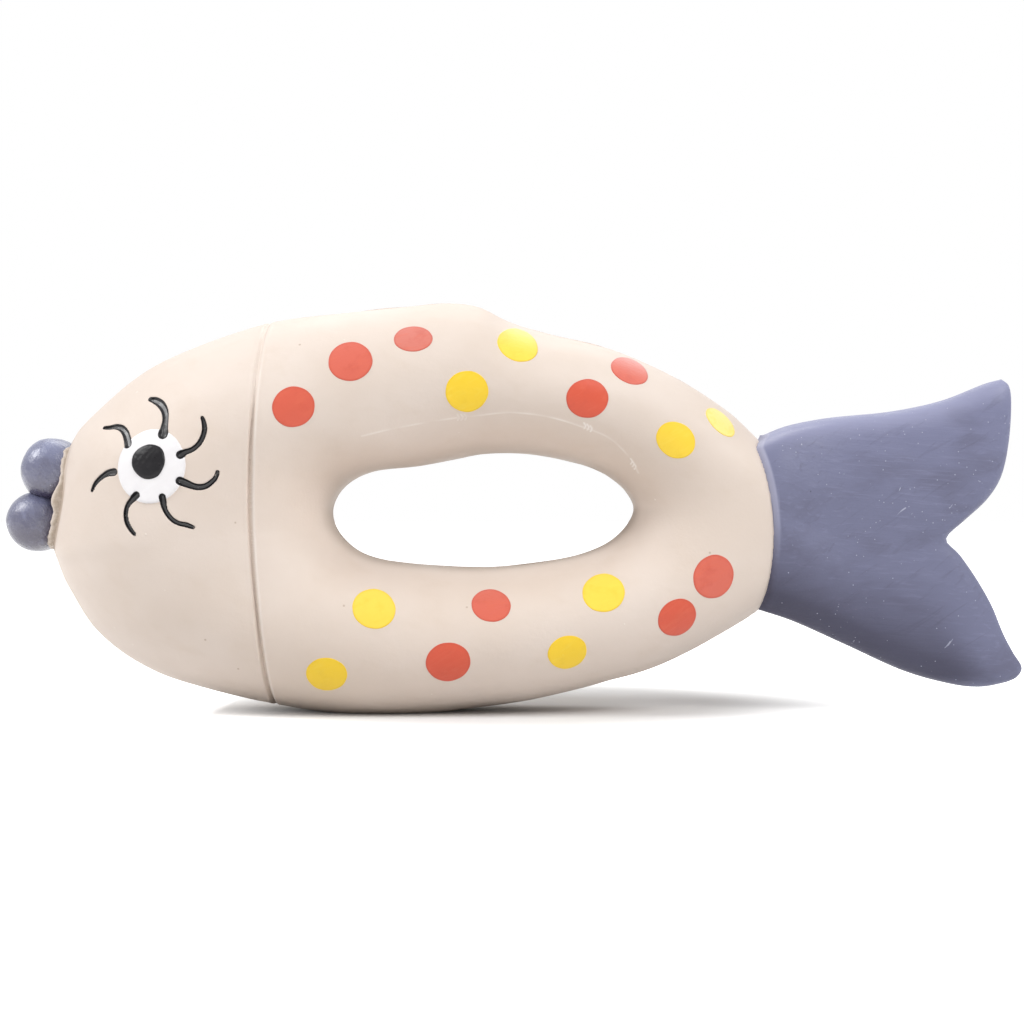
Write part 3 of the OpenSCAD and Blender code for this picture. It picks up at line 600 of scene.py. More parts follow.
def eye_white(seed):
    def height(s, p):
        g = lash_groove(p)
        return eye_rise(p) * (1 - g) - 1.35 * LASH_DEEP * g + 0.025 * wave(p, 2.6, seed)

    shares = np.concatenate([np.linspace(0.04, 0.86, 30), np.linspace(0.88, 1.06, 16)])
    return disc(lambda dx, dz: moved(EYE_A, EYE_V, dx, dz), ellipse(EYE_AXES), height, seed, 220, shares, -0.75)


def pupil(seed):
    rim = ellipse(PUPIL_AXES, 35, ((2, 0.012, seed), (3, 0.012, 2 * seed), (7, 0.005, 0.4)))
    height = lambda s, p: EYE_T - 0.04 + 0.26 * rim_round(s, 0.22) + 0.22 * (1 - s * s) + 0.018 * wave(p, 0.9, seed)
    a, v = map(float, angles_at(*PUPIL_AT))
    return disc(lambda dx, dz: moved(a, v, dx, dz), rim, height, seed, 96, np.linspace(0.06, 1, 22), 0.05)


def lash_strip(path, seed):
    """Painted lining of one lash groove: it follows the groove's floor and dives under the skin at its edges."""
    a, v, half = path
    points = skin(a, v)
    along = np.gradient(points, axis=0)
    along /= np.linalg.norm(along, axis=-1, keepdims=True)
    ends = np.linspace(1, 0.12, 8)
    stations = [(0, -half[0] * math.sqrt(1 - e * e) if e < 1 else 0, e) for e in ends[::-1]]
    stations += [(i, 0, 1) for i in range(1, len(a) - 1)]
    stations += [(-1, half[-1] * math.sqrt(1 - e * e) if e < 1 else 0, e) for e in ends]
    across = np.linspace(-1.1, 1.1, 15)
    rings = []
    for i, over, share in stations:
        _, _, n, t, b = basis(a[i], v[i])
        side = np.cross(n, along[i])
        move = along[i] * over + side * (across * half[i] * share)[:, None]
        pa, pv = moved(np.full(15, a[i]), np.full(15, v[i]), dot(move, t), dot(move, b))
        base = skin(pa, pv)
        g = lash_groove(base)
        rise = np.maximum(eye_rise(base), 0) * (1 - g) - LASH_DEEP * g + 0.05
        rise[[0, -1]] -= 0.16
        top = lifted(pa, pv, rise, seed)
        low = lifted(pa[[-1, 0]], pv[[-1, 0]], np.full(2, -LASH_DEEP - 0.35), seed)
        rings.append(np.concatenate([top, low]))
    k = len(across) + 2
    faces = grid_faces(len(rings), k)
    faces.append(tuple(range(k - 1, -1, -1)))
    faces.append(tuple((len(rings) - 1) * k + j for j in range(k)))
    verts = np.concatenate(rings)
    return verts, faces, np.zeros(len(verts))


def joined(parts):
    """Several patches as one mesh."""
    verts, faces, edges, n = [], [], [], 0
    for p, f, e in parts:
        verts.append(np.asarray(p))
        edges.append(e)
        faces += [tuple(c + n for c in face) for face in f]
        n += len(p)
    return np.concatenate(verts), faces, np.concatenate(edges)


def lashes(seed):
    return joined([lash_strip(path, seed) for path in LASH_PATHS])


def dots(rows, seed):
    """Thin round coats with a slightly raised rim, and the share of each one's paler colour, painted sheen on the
    upper dots.
    """
    parts, pale_and_sheen_parts = [], []
    for i, (x, z, major, minor, tilt, pale_and_sheen) in enumerate(rows):
        k = seed + i * 1.9
        rim = ellipse((major, minor), tilt, ((2, 0.006, 2 * k), (5, 0.004, 3 * k), (9, 0.003, k)))
        spot = lambda dx, dz: seen(x + dx, z + dz)
        height = lambda s, p: DOT_T * rim_round(s, 0.06) * (0.72 + 0.28 * s ** 5) - 0.01
        shares = np.concatenate([np.linspace(0.12, 0.88, 9), np.linspace(0.9, 1, 8)])
        parts.append(disc(spot, rim, height, seed, 72, shares, -0.3))
        pale_and_sheen_parts.append(np.full(len(parts[-1][0]), pale_and_sheen))
    return *joined(parts), np.concatenate(pale_and_sheen_parts)


def tail_side(s, t):
    """Side view of the tail: s runs from the root to the rear edge, t from the lower edge to the upper."""
    corner = lambda p: np.asarray(p) * [TAIL_LEN, TAIL_H] + [BODY_LEN, TAIL_Z]
    t = np.asarray(t, float)
    t2 = t[..., None]
    low_z, high_z = corner(TAIL_BOTTOM[0])[1], corner(TAIL_TOP[0])[1]
    root = lambda q: np.stack([root_x(mix(low_z, high_z, q)), mix(low_z, high_z, q)], -1)
    low, high = corner(open_curve(TAIL_BOTTOM, s)), corner(open_curve(TAIL_TOP, s))
    front, rear = root(t), corner(open_curve(TAIL_REAR, t))
    r0, r1 = root(np.array(0.0)), root(np.array(1.0))
    tips = mix(corner(TAIL_REAR[0]), corner(TAIL_REAR[-1]), t2)
    corners = mix(mix(r0, r1, t2), tips, s)
    fix = mix(mix(r0 - corner(TAIL_BOTTOM[0]), r1 - corner(TAIL_TOP[0]), t2), 0, s)
    return mix(front, rear, s) + mix(low, high, t2) - corners + fix


def tail():
    """The fin as rings from its root to its rear edge, with a painted highlight on the root's chamfer, painted shade
    on its lower part and painted light along its upper edge.
    """
    n_s, n_t = 96, 72
    t = np.linspace(0, 1, n_t + 1)
    t = 0.55 * (1 - np.cos(math.pi * t)) / 2 + 0.45 * t
    root = tail_side(0.0, t)
    skin_y = -skin(*angles_at(root[:, 0] - 0.15, root[:, 1]))[:, 1]
    u = np.abs(2 * t - 1)
    rings, bevel_highlight, low = [], [], []
    steps = np.concatenate([np.linspace(0, 0.045, 12)[:-1], 0.045 + 0.955 * np.sin(np.linspace(0, math.pi / 2, n_s))])
    for i, s in enumerate(steps):
        side = tail_side(s, t)
        if i == 0:
            side = side - [0.4, 0]
        full = (mix(TAIL_ROOT_W, TAIL_TIP_W, s ** 0.6) / 2 * np.maximum(1 - u ** 2.5, 0) ** 0.4
                * max(1 - s ** 8, 0) ** 0.25)
        full = mix(np.maximum(full, skin_y + 0.55), full, smooth(0.0, 0.4, s))
        e = np.linalg.norm(side - root, axis=-1) if i else np.zeros(n_t + 1)
        q = np.sqrt(1 - (1 - np.minimum(e / 1.15, 1)) ** 2)
        half = mix(np.minimum(skin_y - 0.35, full), full, q)
        half = np.maximum(half, 0.02)
        half[[0, -1]] = 0
        left = np.stack([side[:, 0], -half, side[:, 1]], -1)
        right = np.stack([side[:, 0], half, side[:, 1]], -1)[1:-1][::-1]
        ring = np.concatenate([left, right])
        bulge = np.sign(ring[:, 1]) * smooth(0.5, 3.0, np.abs(ring[:, 1])) * smooth(0.03, 0.12, s)
        ring[:, 1] += bulge * (0.16 * wave(ring, 17.0, 5.0) + 0.06 * wave(ring, 6.0, 6.0))
        rings.append(ring)
        # Band along the root's chamfer, which the fin's paint lightens as a painted highlight
        band = 1 - smooth(0.75, 1.2, e)
        bevel_highlight.append(np.concatenate([band, band[1:-1][::-1]]))
        # Painted shade toward the lower edge, fading toward the rear edge, and painted light (negative values) along
        # the upper edge
        shade = 0.8 * (1 - smooth(0.05, 0.6, t)) + 0.3 * np.exp(-((t - 0.08) / 0.05) ** 2)
        shade = shade * (1 - smooth(0.55, 0.9, s)) - 0.5 * smooth(0.84, 0.99, t)
        low.append(np.concatenate([shade, shade[1:-1][::-1]]))
    k = 2 * n_t
    faces = grid_faces(len(rings), k)
    for base, flip in ((0, True), ((len(rings) - 1) * k, False)):
        cap = [(0, 1, k - 1), (n_t - 1, n_t, n_t + 1)]
        cap += [(j, j + 1, k - j - 1, k - j) for j in range(1, n_t - 1)]
        faces += [tuple(base + c for c in (f[::-1] if flip else f)) for f in cap]
    return np.concatenate(rings), faces, np.concatenate(bevel_highlight), np.concatenate(low)


def lip(x, z, front, back, above, below, seed):
    """One lip: an egg with its own reach to the front, back, top and bottom."""
    n_r, n_c = 80, 120
    theta = np.linspace(0.02, math.pi - 0.02, n_r)
    phi = np.arange(n_c) * 2 * math.pi / n_c
    th, ph = np.meshgrid(theta, phi, indexing="ij")
    share = np.sin(th) ** 0.9
    px, pz = np.cos(ph) * share, np.sin(ph) * share
    y = LIP_HALF * np.sign(np.cos(th)) * (1 - np.hypot(px, pz) ** 2.5) ** 0.4
    verts = np.stack([x + px * np.where(px < 0, front, back), y, z + pz * np.where(pz > 0, above, below)], -1)
    verts = verts.reshape(-1, 3)
    ball = verts - [x, 0, z]
    ball /= np.linalg.norm(ball, axis=-1, keepdims=True)
    verts = verts + ball * (0.05 * wave(verts, 4.5, seed) + 0.025 * wave(verts, 1.7, seed + 3))[:, None]
    poles = np.stack([verts[:n_c].mean(0), verts[-n_c:].mean(0)])
    faces = grid_faces(n_r, n_c)
    n = len(verts)
    faces += [(n, (j + 1) % n_c, j) for j in range(n_c)]
    faces += [(n + 1, n - n_c + j, n - n_c + (j + 1) % n_c) for j in range(n_c)]
    # The edge attribute is the height across the lip, which its paint turns into painted shade below and painted light
    # above
    return np.concatenate([verts, poles]), faces, np.append((pz.ravel() + 1) / 2, (0.5, 0.5))


def collar():
    """Ragged cuff of bare rubber behind the lips, with a tooth that points into the crease between them."""
    n = 360
    phi = np.arange(n) * 2 * math.pi / n
    up, across = (np.sign(c) * np.abs(c) ** (2 / CUFF_POWER) for c in (np.cos(phi), np.sin(phi)))
    front = np.interp(up * COLLAR_H / 2, *np.array(CUFF).T)
    front = front + 0.05 * np.sin(13 * phi + 1) + 0.04 * np.sin(29 * phi + 2.2) + 0.03 * np.sin(47 * phi + 0.4)
    size = 1 + 0.008 * np.sin(7 * phi) + 0.008 * np.sin(19 * phi + 1.3)
    profile = [(0.66, -0.5, 1), (0.80, -0.12, 1), (0.88, 0.0, 1), (0.93, 0.0, 1), (0.965, -0.08, 1), (0.99, -0.24, 1),
               (1.0, -0.45, 1), (1.0, -0.75, 1), (0.985, -1.5, 0), (0.96, -2.2, 0), (0.60, -2.2, 0)]
    rings = []
    for share, drop, follow in profile:
        out = front + drop if follow else np.full(n, drop)
        grain = 0.02 * np.sin(61 * phi + 5 * share) * follow
        rings.append(from_mouth(up * COLLAR_H / 2 * share * size, across * (COLLAR_W / 2 * share * size + grain), out))
    verts = np.concatenate(rings)
    # Share of the darker, ragged tone on the cuff's rim and outer wall
    rough = np.repeat([0, 0, 0, 0, 0, 0.3, 0.8, 1, 1, 1, 1], n)
    return verts, grid_faces(len(profile), n, ring=True), rough


# Squeaker in the right cheek

PORT_N = np.array([-0.101228, 0.962351, -0.252258])
PORT_FACE = np.array([-49.9049, 16.8798, 17.6666]) - SHIFT
FLANGE_T = 1.2
# Profiles about the port's axis: the rubber boss behind the skin, and the room that the squeaker takes
PORT_BOSS = [(6.95, 0.0), (6.95, -5.4)]
PORT_BORE = [(7.55, 4.0), (7.55, 0.0), (5.55, 0.0), (5.55, -9.0)]


def port_frame():
    z = PORT_N / np.linalg.norm(PORT_N)
    x = np.cross([0, 0, 1.0], z)
    x /= np.linalg.norm(x)
    return x, np.cross(z, x), z


def turned(profile, n=96, closed=True):
    """Solid of revolution about the port's axis, from (radius, height over the flange's seat) pairs."""
    x, y, z = port_frame()
    seat = PORT_FACE - z * FLANGE_T
    phi = np.arange(n) * 2 * math.pi / n
    ring = np.cos(phi)[:, None] * x + np.sin(phi)[:, None] * y
    verts = np.concatenate([seat + ring * r + z * h for r, h in profile])
    faces = grid_faces(len(profile), n, ring=closed)
    if not closed:
        faces.append(tuple(range(n)))
        faces.append(tuple(len(verts) - n + j for j in range(n)))
    return verts, faces


def rounded(points, radius, steps=5):
    """Profile with its corners rounded: points are (r, h, round this corner)."""
    out = []
    m = len(points)
    for i, (r, h, soft) in enumerate(points):
        p = np.array([r, h])
        if not soft:
            out.append(tuple(p))
            continue
        q0 = np.array(points[i - 1][:2]) - p
        q1 = np.array(points[(i + 1) % m][:2]) - p
        a, b = p + q0 / np.linalg.norm(q0) * radius, p + q1 / np.linalg.norm(q1) * radius
        for k in range(steps + 1):
            t = k / steps
            out.append(tuple((1 - t) ** 2 * a + 2 * t * (1 - t) * p + t * t * b))
    return out


def squeaker_body():
    points = [(1.5, 0.0, False), (1.5, 1.0, True), (2.3, 1.0, True), (2.9, FLANGE_T, True), (5.6, FLANGE_T, True),
              (5.9, 1.0, True), (6.3, 1.0, True), (6.6, FLANGE_T, True), (7.5, FLANGE_T, True), (7.5, 0.0, False),
              (5.5, 0.0, False), (5.5, -9.0, False), (4.6, -9.0, False), (4.6, 0.0, False)]
    verts, faces = turned(rounded(points, 0.14))
    return verts, faces, np.zeros(len(verts))


def boolean(obj, tool, operation):
    mod = obj.modifiers.new("cut", "BOOLEAN")
    mod.object, mod.operation, mod.solver = tool, operation, "EXACT"
    deps = bpy.context.evaluated_depsgraph_get()
    mesh = bpy.data.meshes.new_from_object(obj.evaluated_get(deps))
    obj.modifiers.clear()
    obj.data = mesh
    bpy.data.objects.remove(tool)


def tool_object(verts, faces):
    obj = bpy.data.objects.new("tool", mesh_from("tool", verts, faces))
    scene.collection.objects.link(obj)
    return obj


# Materials

def feed(tree, socket, value):
    """Link a socket to another node's output, or set it to a plain value."""
    if isinstance(value, bpy.types.NodeSocket):
        tree.links.new(value, socket)
    else:
        socket.default_value = value


def link_math(tree, kind, a, b, clamp=False):
    n = tree.nodes.new("ShaderNodeMath")
    n.operation, n.use_clamp = kind, clamp
    feed(tree, n.inputs[0], a)
    feed(tree, n.inputs[1], b)
    return n.outputs[0]


def link_range(tree, value, low, high, to_low=0.0, to_high=1.0):
    n = tree.nodes.new("ShaderNodeMapRange")
    n.interpolation_type = "SMOOTHSTEP"
    keys = ("Value", "From Min", "From Max", "To Min", "To Max")
    for key, x in zip(keys, (value, low, high, to_low, to_high)):
        feed(tree, n.inputs[key], x)
    return n.outputs[0]


class Paint:
    """A procedural material, built node by node around one Principled shader."""

    def __init__(self, name, colour, rough, specular=0.5):
        self.mat = bpy.data.materials.new(name)
        self.mat.use_nodes = True
        self.tree = self.mat.node_tree
        self.shader = self.tree.nodes["Principled BSDF"]
        self.shader.inputs["Roughness"].default_value = rough
        self.shader.inputs["Specular IOR Level"].default_value = specular
        self.place = self.tree.nodes.new("ShaderNodeTexCoord").outputs["Object"]
        self.colour = (*colour, 1)
        self.height = None

    def node(self, kind, **inputs):
        n = self.tree.nodes.new(kind)
        for key, value in inputs.items():
            feed(self.tree, n.inputs[key], value)
        return n

    def along(self, stretch=(1, 1, 1), turn=(0, 0, 0)):
        """Object coordinates turned and then drawn out, so that a pattern becomes strokes."""
        n = self.node("ShaderNodeMapping", Vector=self.place)
        n.vector_type = "TEXTURE"
        n.inputs["Scale"].default_value = stretch
        n.inputs["Rotation"].default_value = [math.radians(x) for x in turn]
        return n.outputs[0]

    def noise(self, scale, detail=3.0, rough=0.55, where=None, distortion=0.0):
        n = self.node("ShaderNodeTexNoise", Vector=where or self.place, Scale=scale, Detail=detail, Roughness=rough,
                      Distortion=distortion)
        return n.outputs["Fac"]

    def spots(self, scale, chance, size, where=None):
        """Small round spots in a few of the cells of a pattern."""
        n = self.node("ShaderNodeTexVoronoi", Vector=where or self.place, Scale=scale)
        near = self.ramp(n.outputs["Distance"], size, size * 0.5)
        pick = self.node("ShaderNodeSeparateColor", Color=n.outputs["Color"]).outputs[0]
        return self.times(near, self.ramp(pick, 1 - chance, 1 - chance + 0.02))

    def times(self, a, b):
        return link_math(self.tree, "MULTIPLY", a, b)

    def ramp(self, *values):
        return link_range(self.tree, *values)

    def axis(self, name):
        return self.node("ShaderNodeSeparateXYZ", Vector=self.place).outputs[name]

    def attribute(self, name):
        n = self.tree.nodes.new("ShaderNodeAttribute")
        n.attribute_name = name
        return n.outputs["Fac"]

    def tint(self, amount, colour):
        n = self.tree.nodes.new("ShaderNodeMix")
        n.data_type = "RGBA"
        feed(self.tree, n.inputs[0], amount)
        feed(self.tree, n.inputs[6], self.colour)
        n.inputs[7].default_value = (*colour, 1)
        self.colour = n.outputs[2]

    def bump(self, height, distance, strength=1.0):
        n = self.node("ShaderNodeBump", Height=height, Strength=strength, Distance=distance)
        if self.height is not None:
            self.tree.links.new(self.height, n.inputs["Normal"])
        self.height = n.outputs[0]

    def done(self, rough):
        self.tree.links.new(self.colour, self.shader.inputs["Base Color"])
        self.tree.links.new(self.height, self.shader.inputs["Normal"])
        self.tree.links.new(rough, self.shader.inputs["Roughness"])
        return self.mat


def rubber_material():
    p = Paint("cream_rubber", (0.710, 0.606, 0.528), 0.5, 0.4)
    p.tint(p.ramp(p.noise(42, 4), 0.35, 0.7), (0.750, 0.652, 0.582))
    p.tint(p.ramp(p.noise(240, 4, 0.6, p.along((1.8, 1, 1), (0, 25, 0))), 0.5, 0.8, 0, 0.3), (0.66, 0.545, 0.45))
    p.tint(p.spots(420, 0.06, 0.10), (0.55, 0.44, 0.36))
    flecks = p.spots(520, 0.05, 0.12, p.along(turn=(20, 40, 10)))
    p.tint(p.times(flecks, 0.7), (0.84, 0.76, 0.69))
    # Painted shade in the gill groove, the mouth crease and round the grip hole
    p.tint(p.ramp(p.attribute("painted_shade"), 0.03, 1.0, 0, 0.85), (0.42, 0.335, 0.265))
    # Lighter mould line, and painted highlights on its creases and behind the gill groove
    p.tint(p.attribute("pale_and_highlight"), (0.95, 0.90, 0.85))
    # Darker, ragged tone on the cuff's rim and outer wall, from its edge attribute
    rag = p.noise(1500, 3, 0.65)
    darker_cuff_wall = p.times(p.attribute("edge"), p.ramp(rag, 0.30, 0.62, 0.45, 1.0))
    p.tint(darker_cuff_wall, (0.47, 0.385, 0.305))
    p.bump(p.noise(2600, 2, 0.6), 0.00003, 0.6)
    p.bump(p.noise(520, 3, 0.6), 0.00010, 0.5)
    p.bump(flecks, 0.00005, 0.6)
    p.bump(darker_cuff_wall, 0.00012, 0.7)
    return p.done(p.ramp(p.noise(90, 3), 0.3, 0.7, 0.46, 0.60))


def slate_material():
    p = Paint("slate_paint", (0.166, 0.173, 0.268), 0.5, 0.3)
    strokes = p.noise(1900, 4, 0.6, p.along((26, 1, 1), (0, 4, 0)), 0.3)
    sweep = p.noise(900, 3, 0.6, p.along((9, 1, 1), (0, -34, 0)), 0.6)
    broad = p.noise(190, 3, 0.6, p.along((2.6, 1, 1), (0, -8, 0)), 0.4)
    # Painted light: the fin's paint gets lighter toward its top
    p.tint(p.ramp(p.axis("Z"), 0.032, 0.054, 0, 0.7), (0.205, 0.214, 0.338))
    p.tint(p.ramp(broad, 0.44, 0.74, 0, 0.5), (0.112, 0.110, 0.168))
    p.tint(p.ramp(strokes, 0.50, 0.76, 0, 0.42), (0.235, 0.243, 0.365))
    p.tint(p.ramp(sweep, 0.54, 0.78, 0, 0.4), (0.100, 0.099, 0.152))
    # Painted shade toward the fin's lower edge, from the low attribute
    p.tint(p.ramp(p.attribute("low"), 0.0, 1.0, 0, 0.85), (0.058, 0.055, 0.090))
    # Painted light along the fin's upper edge, where low is negative
    p.tint(p.ramp(p.attribute("low"), 0.0, -0.5, 0, 0.75), (0.315, 0.325, 0.47))
    chips = p.spots(1400, 0.09, 0.17)
    dust = p.spots(1700, 0.25, 0.2, p.along(turn=(30, 20, 0)))
    p.tint(chips, (0.38, 0.39, 0.50))
    p.tint(p.times(dust, p.ramp(p.noise(60, 2), 0.52, 0.60)), (0.42, 0.43, 0.53))
    scuff = p.ramp(p.noise(1500, 2, 0.5, p.along((6, 1, 1), (0, -48, 0)), 0.9), 0.73, 0.75)
    p.tint(p.times(scuff, p.ramp(p.noise(95, 2), 0.56, 0.62)), (0.40, 0.41, 0.52))
    pits = p.spots(300, 0.06, 0.07, p.along(turn=(15, 35, 50)))
    p.tint(pits, (0.02, 0.018, 0.03))
    # Painted highlight on the upper part of the root's chamfer
    p.tint(p.times(p.attribute("edge"), p.ramp(p.axis("Z"), 0.022, 0.036, 0.0, 0.8)), (0.37, 0.375, 0.50))
    p.bump(strokes, 0.00008, 0.7)
    p.bump(sweep, 0.00008, 0.6)
    p.bump(broad, 0.00022, 0.6)
    p.bump(p.noise(2400, 2), 0.00004, 0.5)
    return p.done(p.ramp(strokes, 0.3, 0.75, 0.44, 0.6))


def lip_material():
    p = Paint("lip_paint", (0.126, 0.130, 0.216), 0.4, 1.0)
    brush = p.noise(950, 4, 0.65, p.along((2.4, 1, 1), (0, 60, 0)), 0.5)
    patch = p.noise(300, 3, 0.6)
    grain = p.noise(2300, 3, 0.7)
    # Painted shade on each lip's lower part and painted light on its upper part
    p.tint(p.ramp(p.attribute("edge"), 0.55, 0.1, 0, 1), (0.060, 0.051, 0.096))
    p.tint(p.ramp(p.attribute("edge"), 0.5, 0.94, 0, 0.8), (0.200, 0.220, 0.355))
    p.tint(p.ramp(patch, 0.44, 0.74, 0, 0.5), (0.080, 0.076, 0.125))
    p.tint(p.ramp(brush, 0.50, 0.76, 0, 0.45), (0.205, 0.218, 0.345))
    p.tint(p.spots(1300, 0.10, 0.2), (0.45, 0.46, 0.58))
    p.tint(p.spots(700, 0.03, 0.12, p.along(turn=(40, 10, 5))), (0.03, 0.03, 0.045))
    p.bump(patch, 0.00016, 0.6)
    p.bump(brush, 0.00012, 0.8)
    p.bump(grain, 0.00009, 0.9)
    return p.done(p.ramp(brush, 0.3, 0.7, 0.2, 0.32))


def coat_material(name, colour, light, dark, pale_and_sheen_colour, rim, specular, sheen):
    """Brushed paint with lighter and darker strokes, a paler colour that paints sheen on the upper dots, and a share
    of dark at its rim.
    """
    rough = 0.42
    p = Paint(name, colour, rough, specular)
    p.shader.inputs["Sheen Weight"].default_value = sheen
    p.shader.inputs["Sheen Roughness"].default_value = 0.45
    brush = p.noise(1100, 3, 0.6, p.along((5, 1, 1), (0, -30, 0)), 0.5)
    patch = p.noise(420, 3)
    # Paler colour on some dots: painted sheen on the upper dots
    p.tint(p.attribute("pale_and_sheen"), pale_and_sheen_colour)
    p.tint(p.ramp(patch, 0.50, 0.78, 0, 0.35), dark)
    p.tint(p.ramp(brush, 0.48, 0.76, 0, 0.45), light)
    p.tint(p.spots(900, 0.03, 0.13), light)
    p.tint(p.ramp(p.attribute("edge"), 0.86, 1.0, 0, rim), dark)
    p.bump(brush, 0.00006, 0.6)
    p.bump(patch, 0.00006, 0.6)
    p.bump(p.noise(2600, 2), 0.00003, 0.6)
    return p.done(p.ramp(brush, 0.3, 0.7, rough - 0.05, rough + 0.08))


def black_material(name, specular):
    """Black paint with a few light points, which are painted glints."""
    p = Paint(name, (0.010, 0.009, 0.011), 0.3, specular)
    p.tint(p.ramp(p.noise(900, 3), 0.5, 0.8, 0, 0.5), (0.030, 0.027, 0.030))
    # Light grey points: painted glints
    glint_specks = p.spots(1900, 0.10, 0.2)
    p.tint(glint_specks, (0.16, 0.15, 0.15))
    p.bump(p.noise(1300, 3), 0.00007, 0.8)
    p.bump(glint_specks, 0.00004, 0.8)
    return p.done(p.ramp(p.noise(520, 2), 0.3, 0.7, 0.26, 0.44))


def plastic_material(name, colour, rough):
    p = Paint(name, colour, rough)
    p.tint(p.ramp(p.noise(240, 3), 0.45, 0.75, 0, 0.35), tuple(c * 0.93 for c in colour))
    p.tint(p.spots(900, 0.04, 0.1), tuple(c * 0.7 for c in colour))
    p.bump(p.noise(2600, 2), 0.00002, 0.6)
    return p.done(p.ramp(p.noise(160, 2), 0.3, 0.7, rough - 0.06, rough + 0.06))


RUBBER = rubber_material()
SLATE = slate_material()
LIP = lip_material()
WHITE = coat_material(
    "white_paint", (0.85, 0.83, 0.84), (0.88, 0.87, 0.88), (0.77, 0.75, 0.78), (0.88, 0.87, 0.88), 0.2, 0.4, 0.0)
RED = coat_material(
    "red_paint", (0.68, 0.092, 0.043), (0.71, 0.135, 0.07), (0.54, 0.072, 0.038), (0.63, 0.27, 0.23), 0.55, 0.35, 0.9)
YELLOW = coat_material(
    "yellow_paint", (0.96, 0.650, 0.026), (0.97, 0.71, 0.075), (0.83, 0.54, 0.018), (0.93, 0.86, 0.36), 0.5, 0.35, 0.7)
BLACK = black_material("pupil_paint", 0.25)
LASH = black_material("lash_paint", 0.7)
PLASTIC = plastic_material("white_plastic", (0.80, 0.80, 0.77), 0.38)
FILM = plastic_material("reed_film", (0.62, 0.58, 0.48), 0.3)


# The pieces

SEEDS = {-1: 1.0, 1: 2.3}


def build_skins():
    for side, name, body in ((-1, "left_skin", "left_side"), (1, "right_skin", "body")):
        obj = bpy.data.objects.new(name + "_rubber", skin_mesh(side, SEEDS[side]))
        scene.collection.objects.link(obj)
        if side > 0:
            boolean(obj, tool_object(*turned(PORT_BOSS, closed=False)), "UNION")
            boolean(obj, tool_object(*turned(PORT_BORE, closed=False)), "DIFFERENCE")
        obj.data.set_sharp_from_angle(angle=math.radians(62))
        mark_skin(obj.data, side)
        material_of(obj, RUBBER)
        settle(obj, body, name)


build_skins()
for side, prefix, body in ((-1, "left_", "left_side"), (1, "right_", "body")):
    seed = SEEDS[side]
    for piece, made, material, slot in (
            ("eye_white", eye_white(seed), WHITE, "white_paint"), ("pupil", pupil(seed), BLACK, "black_paint"),
            ("lashes", lashes(seed), LASH, "black_paint"), ("red_dots", dots(RED_DOTS, seed), RED, "red_paint"),
            ("yellow_dots", dots(YELLOW_DOTS, seed), YELLOW, "yellow_paint")):
        points, faces, edge, *pale_and_sheen = made
        name = prefix + piece
        coat = add_mesh(name + "_coat", mirrored(points, side), faces, edge, material, body, name, slot, 50)
        if pale_and_sheen:
            set_attribute(coat.data, "pale_and_sheen", pale_and_sheen[0])
points, faces, edge, low = tail()
fin = add_mesh("tail_fin_rubber", points, faces, edge, SLATE, "body", "tail_fin", "blue_rubber", 50)
# low carries the fin's painted shade and painted light
set_attribute(fin.data, "low", low)
add_mesh("mouth_collar_rubber", *collar(), RUBBER, "body", "mouth_collar", "skin", 60)
add_mesh("upper_lip_rubber", *lip(*UPPER_LIP), LIP, "body", "upper_lip", "blue_rubber", 60)
points, faces, edge = lip(*LOWER_LIP)
add_mesh("lower_lip_rubber", points, faces, edge - LOWER_LIP_SHADE, LIP, "body", "lower_lip", "blue_rubber", 60)
add_mesh("squeaker_body_shell", *squeaker_body(), PLASTIC, "body", "squeaker_body", "plastic", 35)
for name in ("reed_bed", "reed_clamp", "squeaker_cap"):
    material_of(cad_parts[name], PLASTIC)
material_of(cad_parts["reed"], FILM)


# Floor, light and camera

AMBIENT, FLOOR_TONE = 0.47, 0.78
AIM = (0.0, 0.0, 0.03)
# Each lamp: name, place, size and power
LAMPS = [
    ("left", (-0.46, -0.16, 0.46), 0.35, 2.4),
    ("right", (0.42, -0.30, 0.45), 0.35, 2.35),
    ("back", (0.0, 0.35, 0.50), 0.40, 0.8)]


def seen_rays(tree):
    """1 for the rays that show the background: from the camera, reflected or passing through."""
    ray = tree.nodes.new("ShaderNodeLightPath")
    seen = link_math(tree, "ADD", ray.outputs["Is Camera Ray"], ray.outputs["Is Glossy Ray"], True)
    return link_math(tree, "ADD", seen, ray.outputs["Is Transmission Ray"], True)


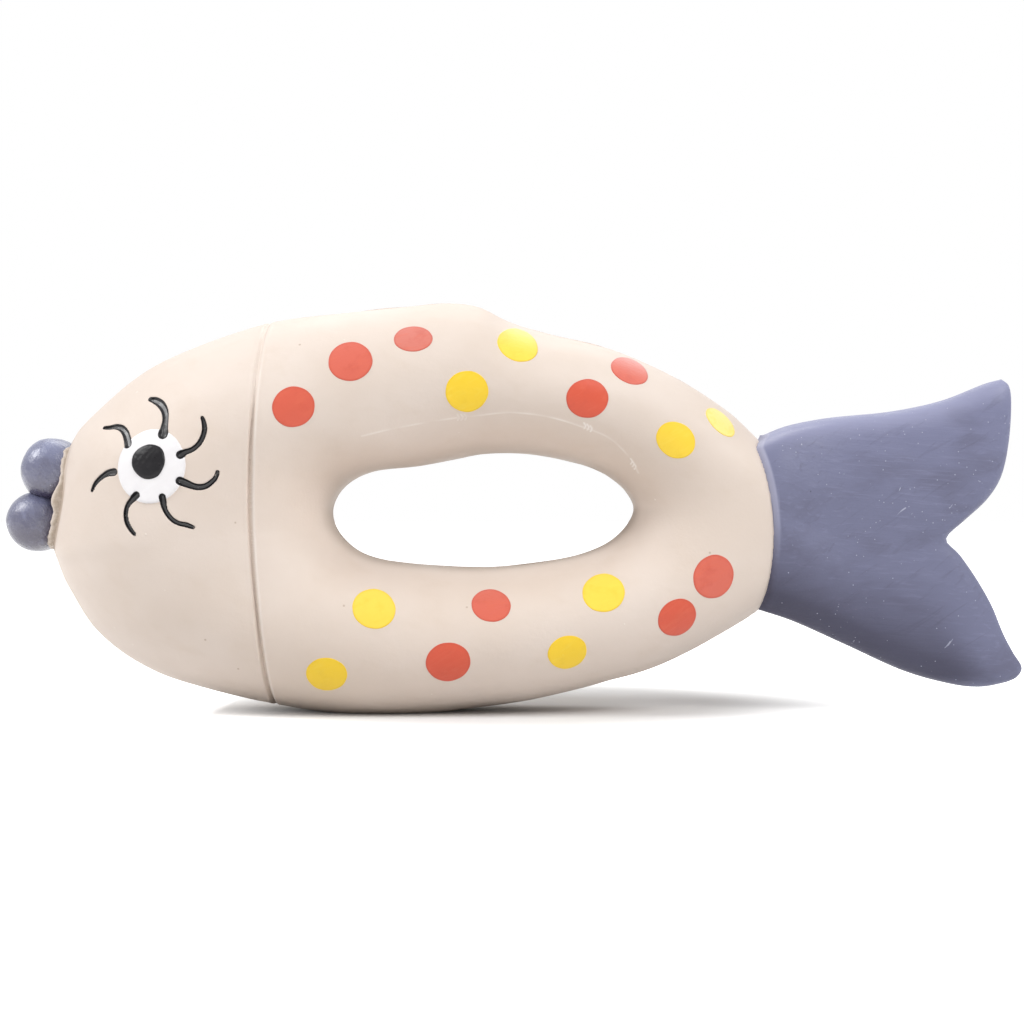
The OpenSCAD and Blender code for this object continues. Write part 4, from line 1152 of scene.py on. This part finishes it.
def stage_material():
    """White floor that keeps the shadow near the toy and clears to the background's white away from it."""
    mat = bpy.data.materials.new("floor")
    mat.use_nodes = True
    tree = mat.node_tree
    tree.nodes.clear()
    out = tree.nodes.new("ShaderNodeOutputMaterial")
    add = tree.nodes.new("ShaderNodeAddShader")
    diffuse = tree.nodes.new("ShaderNodeBsdfDiffuse")
    diffuse.inputs["Color"].default_value = (FLOOR_TONE, FLOOR_TONE, FLOOR_TONE, 1)
    glow = tree.nodes.new("ShaderNodeEmission")
    place = tree.nodes.new("ShaderNodeTexCoord").outputs["Object"]
    oval = tree.nodes.new("ShaderNodeMapping")
    oval.vector_type = "TEXTURE"
    oval.inputs["Location"].default_value = (0.0, 0.012, 0)
    oval.inputs["Scale"].default_value = (0.070, 0.063, 1)
    tree.links.new(place, oval.inputs["Vector"])
    length = tree.nodes.new("ShaderNodeVectorMath")
    length.operation = "LENGTH"
    tree.links.new(oval.outputs[0], length.inputs[0])
    split = tree.nodes.new("ShaderNodeSeparateXYZ")
    tree.links.new(place, split.inputs[0])
    # Glow seen by camera, reflected and passing rays: none near the toy, full away from it and left of x = -0.045 m
    # under the head, where it whites out the toy's shadow
    clear = link_math(tree, "MAXIMUM", link_range(tree, length.outputs["Value"], 0.45, 1.0, 0.0, 1.0),
                      link_range(tree, split.outputs["X"], -0.0445, -0.0505, 0.0, 1.0))
    tree.links.new(link_math(tree, "MULTIPLY", clear, seen_rays(tree)), glow.inputs["Strength"])
    tree.links.new(diffuse.outputs[0], add.inputs[0])
    tree.links.new(glow.outputs[0], add.inputs[1])
    tree.links.new(add.outputs[0], out.inputs["Surface"])
    return mat


floor_mesh = bpy.data.meshes.new("floor")
floor_mesh.from_pydata([(-6, -6, 0), (6, -6, 0), (6, 6, 0), (-6, 6, 0)], [], [(0, 1, 2, 3)])
floor = bpy.data.objects.new("floor", floor_mesh)
scene.collection.objects.link(floor)
material_of(floor, stage_material())
floor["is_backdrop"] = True

world = bpy.data.worlds.new("studio")
scene.world = world
world.use_nodes = True
back = world.node_tree.nodes["Background"]
back.inputs["Color"].default_value = (1, 1, 1, 1)
strength = link_range(world.node_tree, seen_rays(world.node_tree), 0, 1, AMBIENT, 1.0)
world.node_tree.links.new(strength, back.inputs["Strength"])


def area(name, spot, size, power):
    light = bpy.data.lights.new(name, "AREA")
    light.shape, light.size, light.energy = "DISK", size, power
    obj = bpy.data.objects.new(name, light)
    scene.collection.objects.link(obj)
    obj.location = spot
    obj.rotation_euler = (Vector(AIM) - Vector(spot)).to_track_quat("-Z", "Y").to_euler()


for row in LAMPS:
    area(*row)

lens = bpy.data.cameras.new("camera")
lens.sensor_width = 36
lens.lens = 73.6
lens.clip_start, lens.clip_end = 0.01, 50
camera = bpy.data.objects.new("camera", lens)
scene.collection.objects.link(camera)
camera.location = (-0.0002, -VIEW_FAR / 1000, VIEW_Z / 1000)
camera.rotation_euler = (math.radians(90), 0, 0)
scene.camera = camera
scene.view_settings.view_transform = "Standard"

{"cad": cad_box, "visual": [list(map(float, corner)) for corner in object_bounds()]}
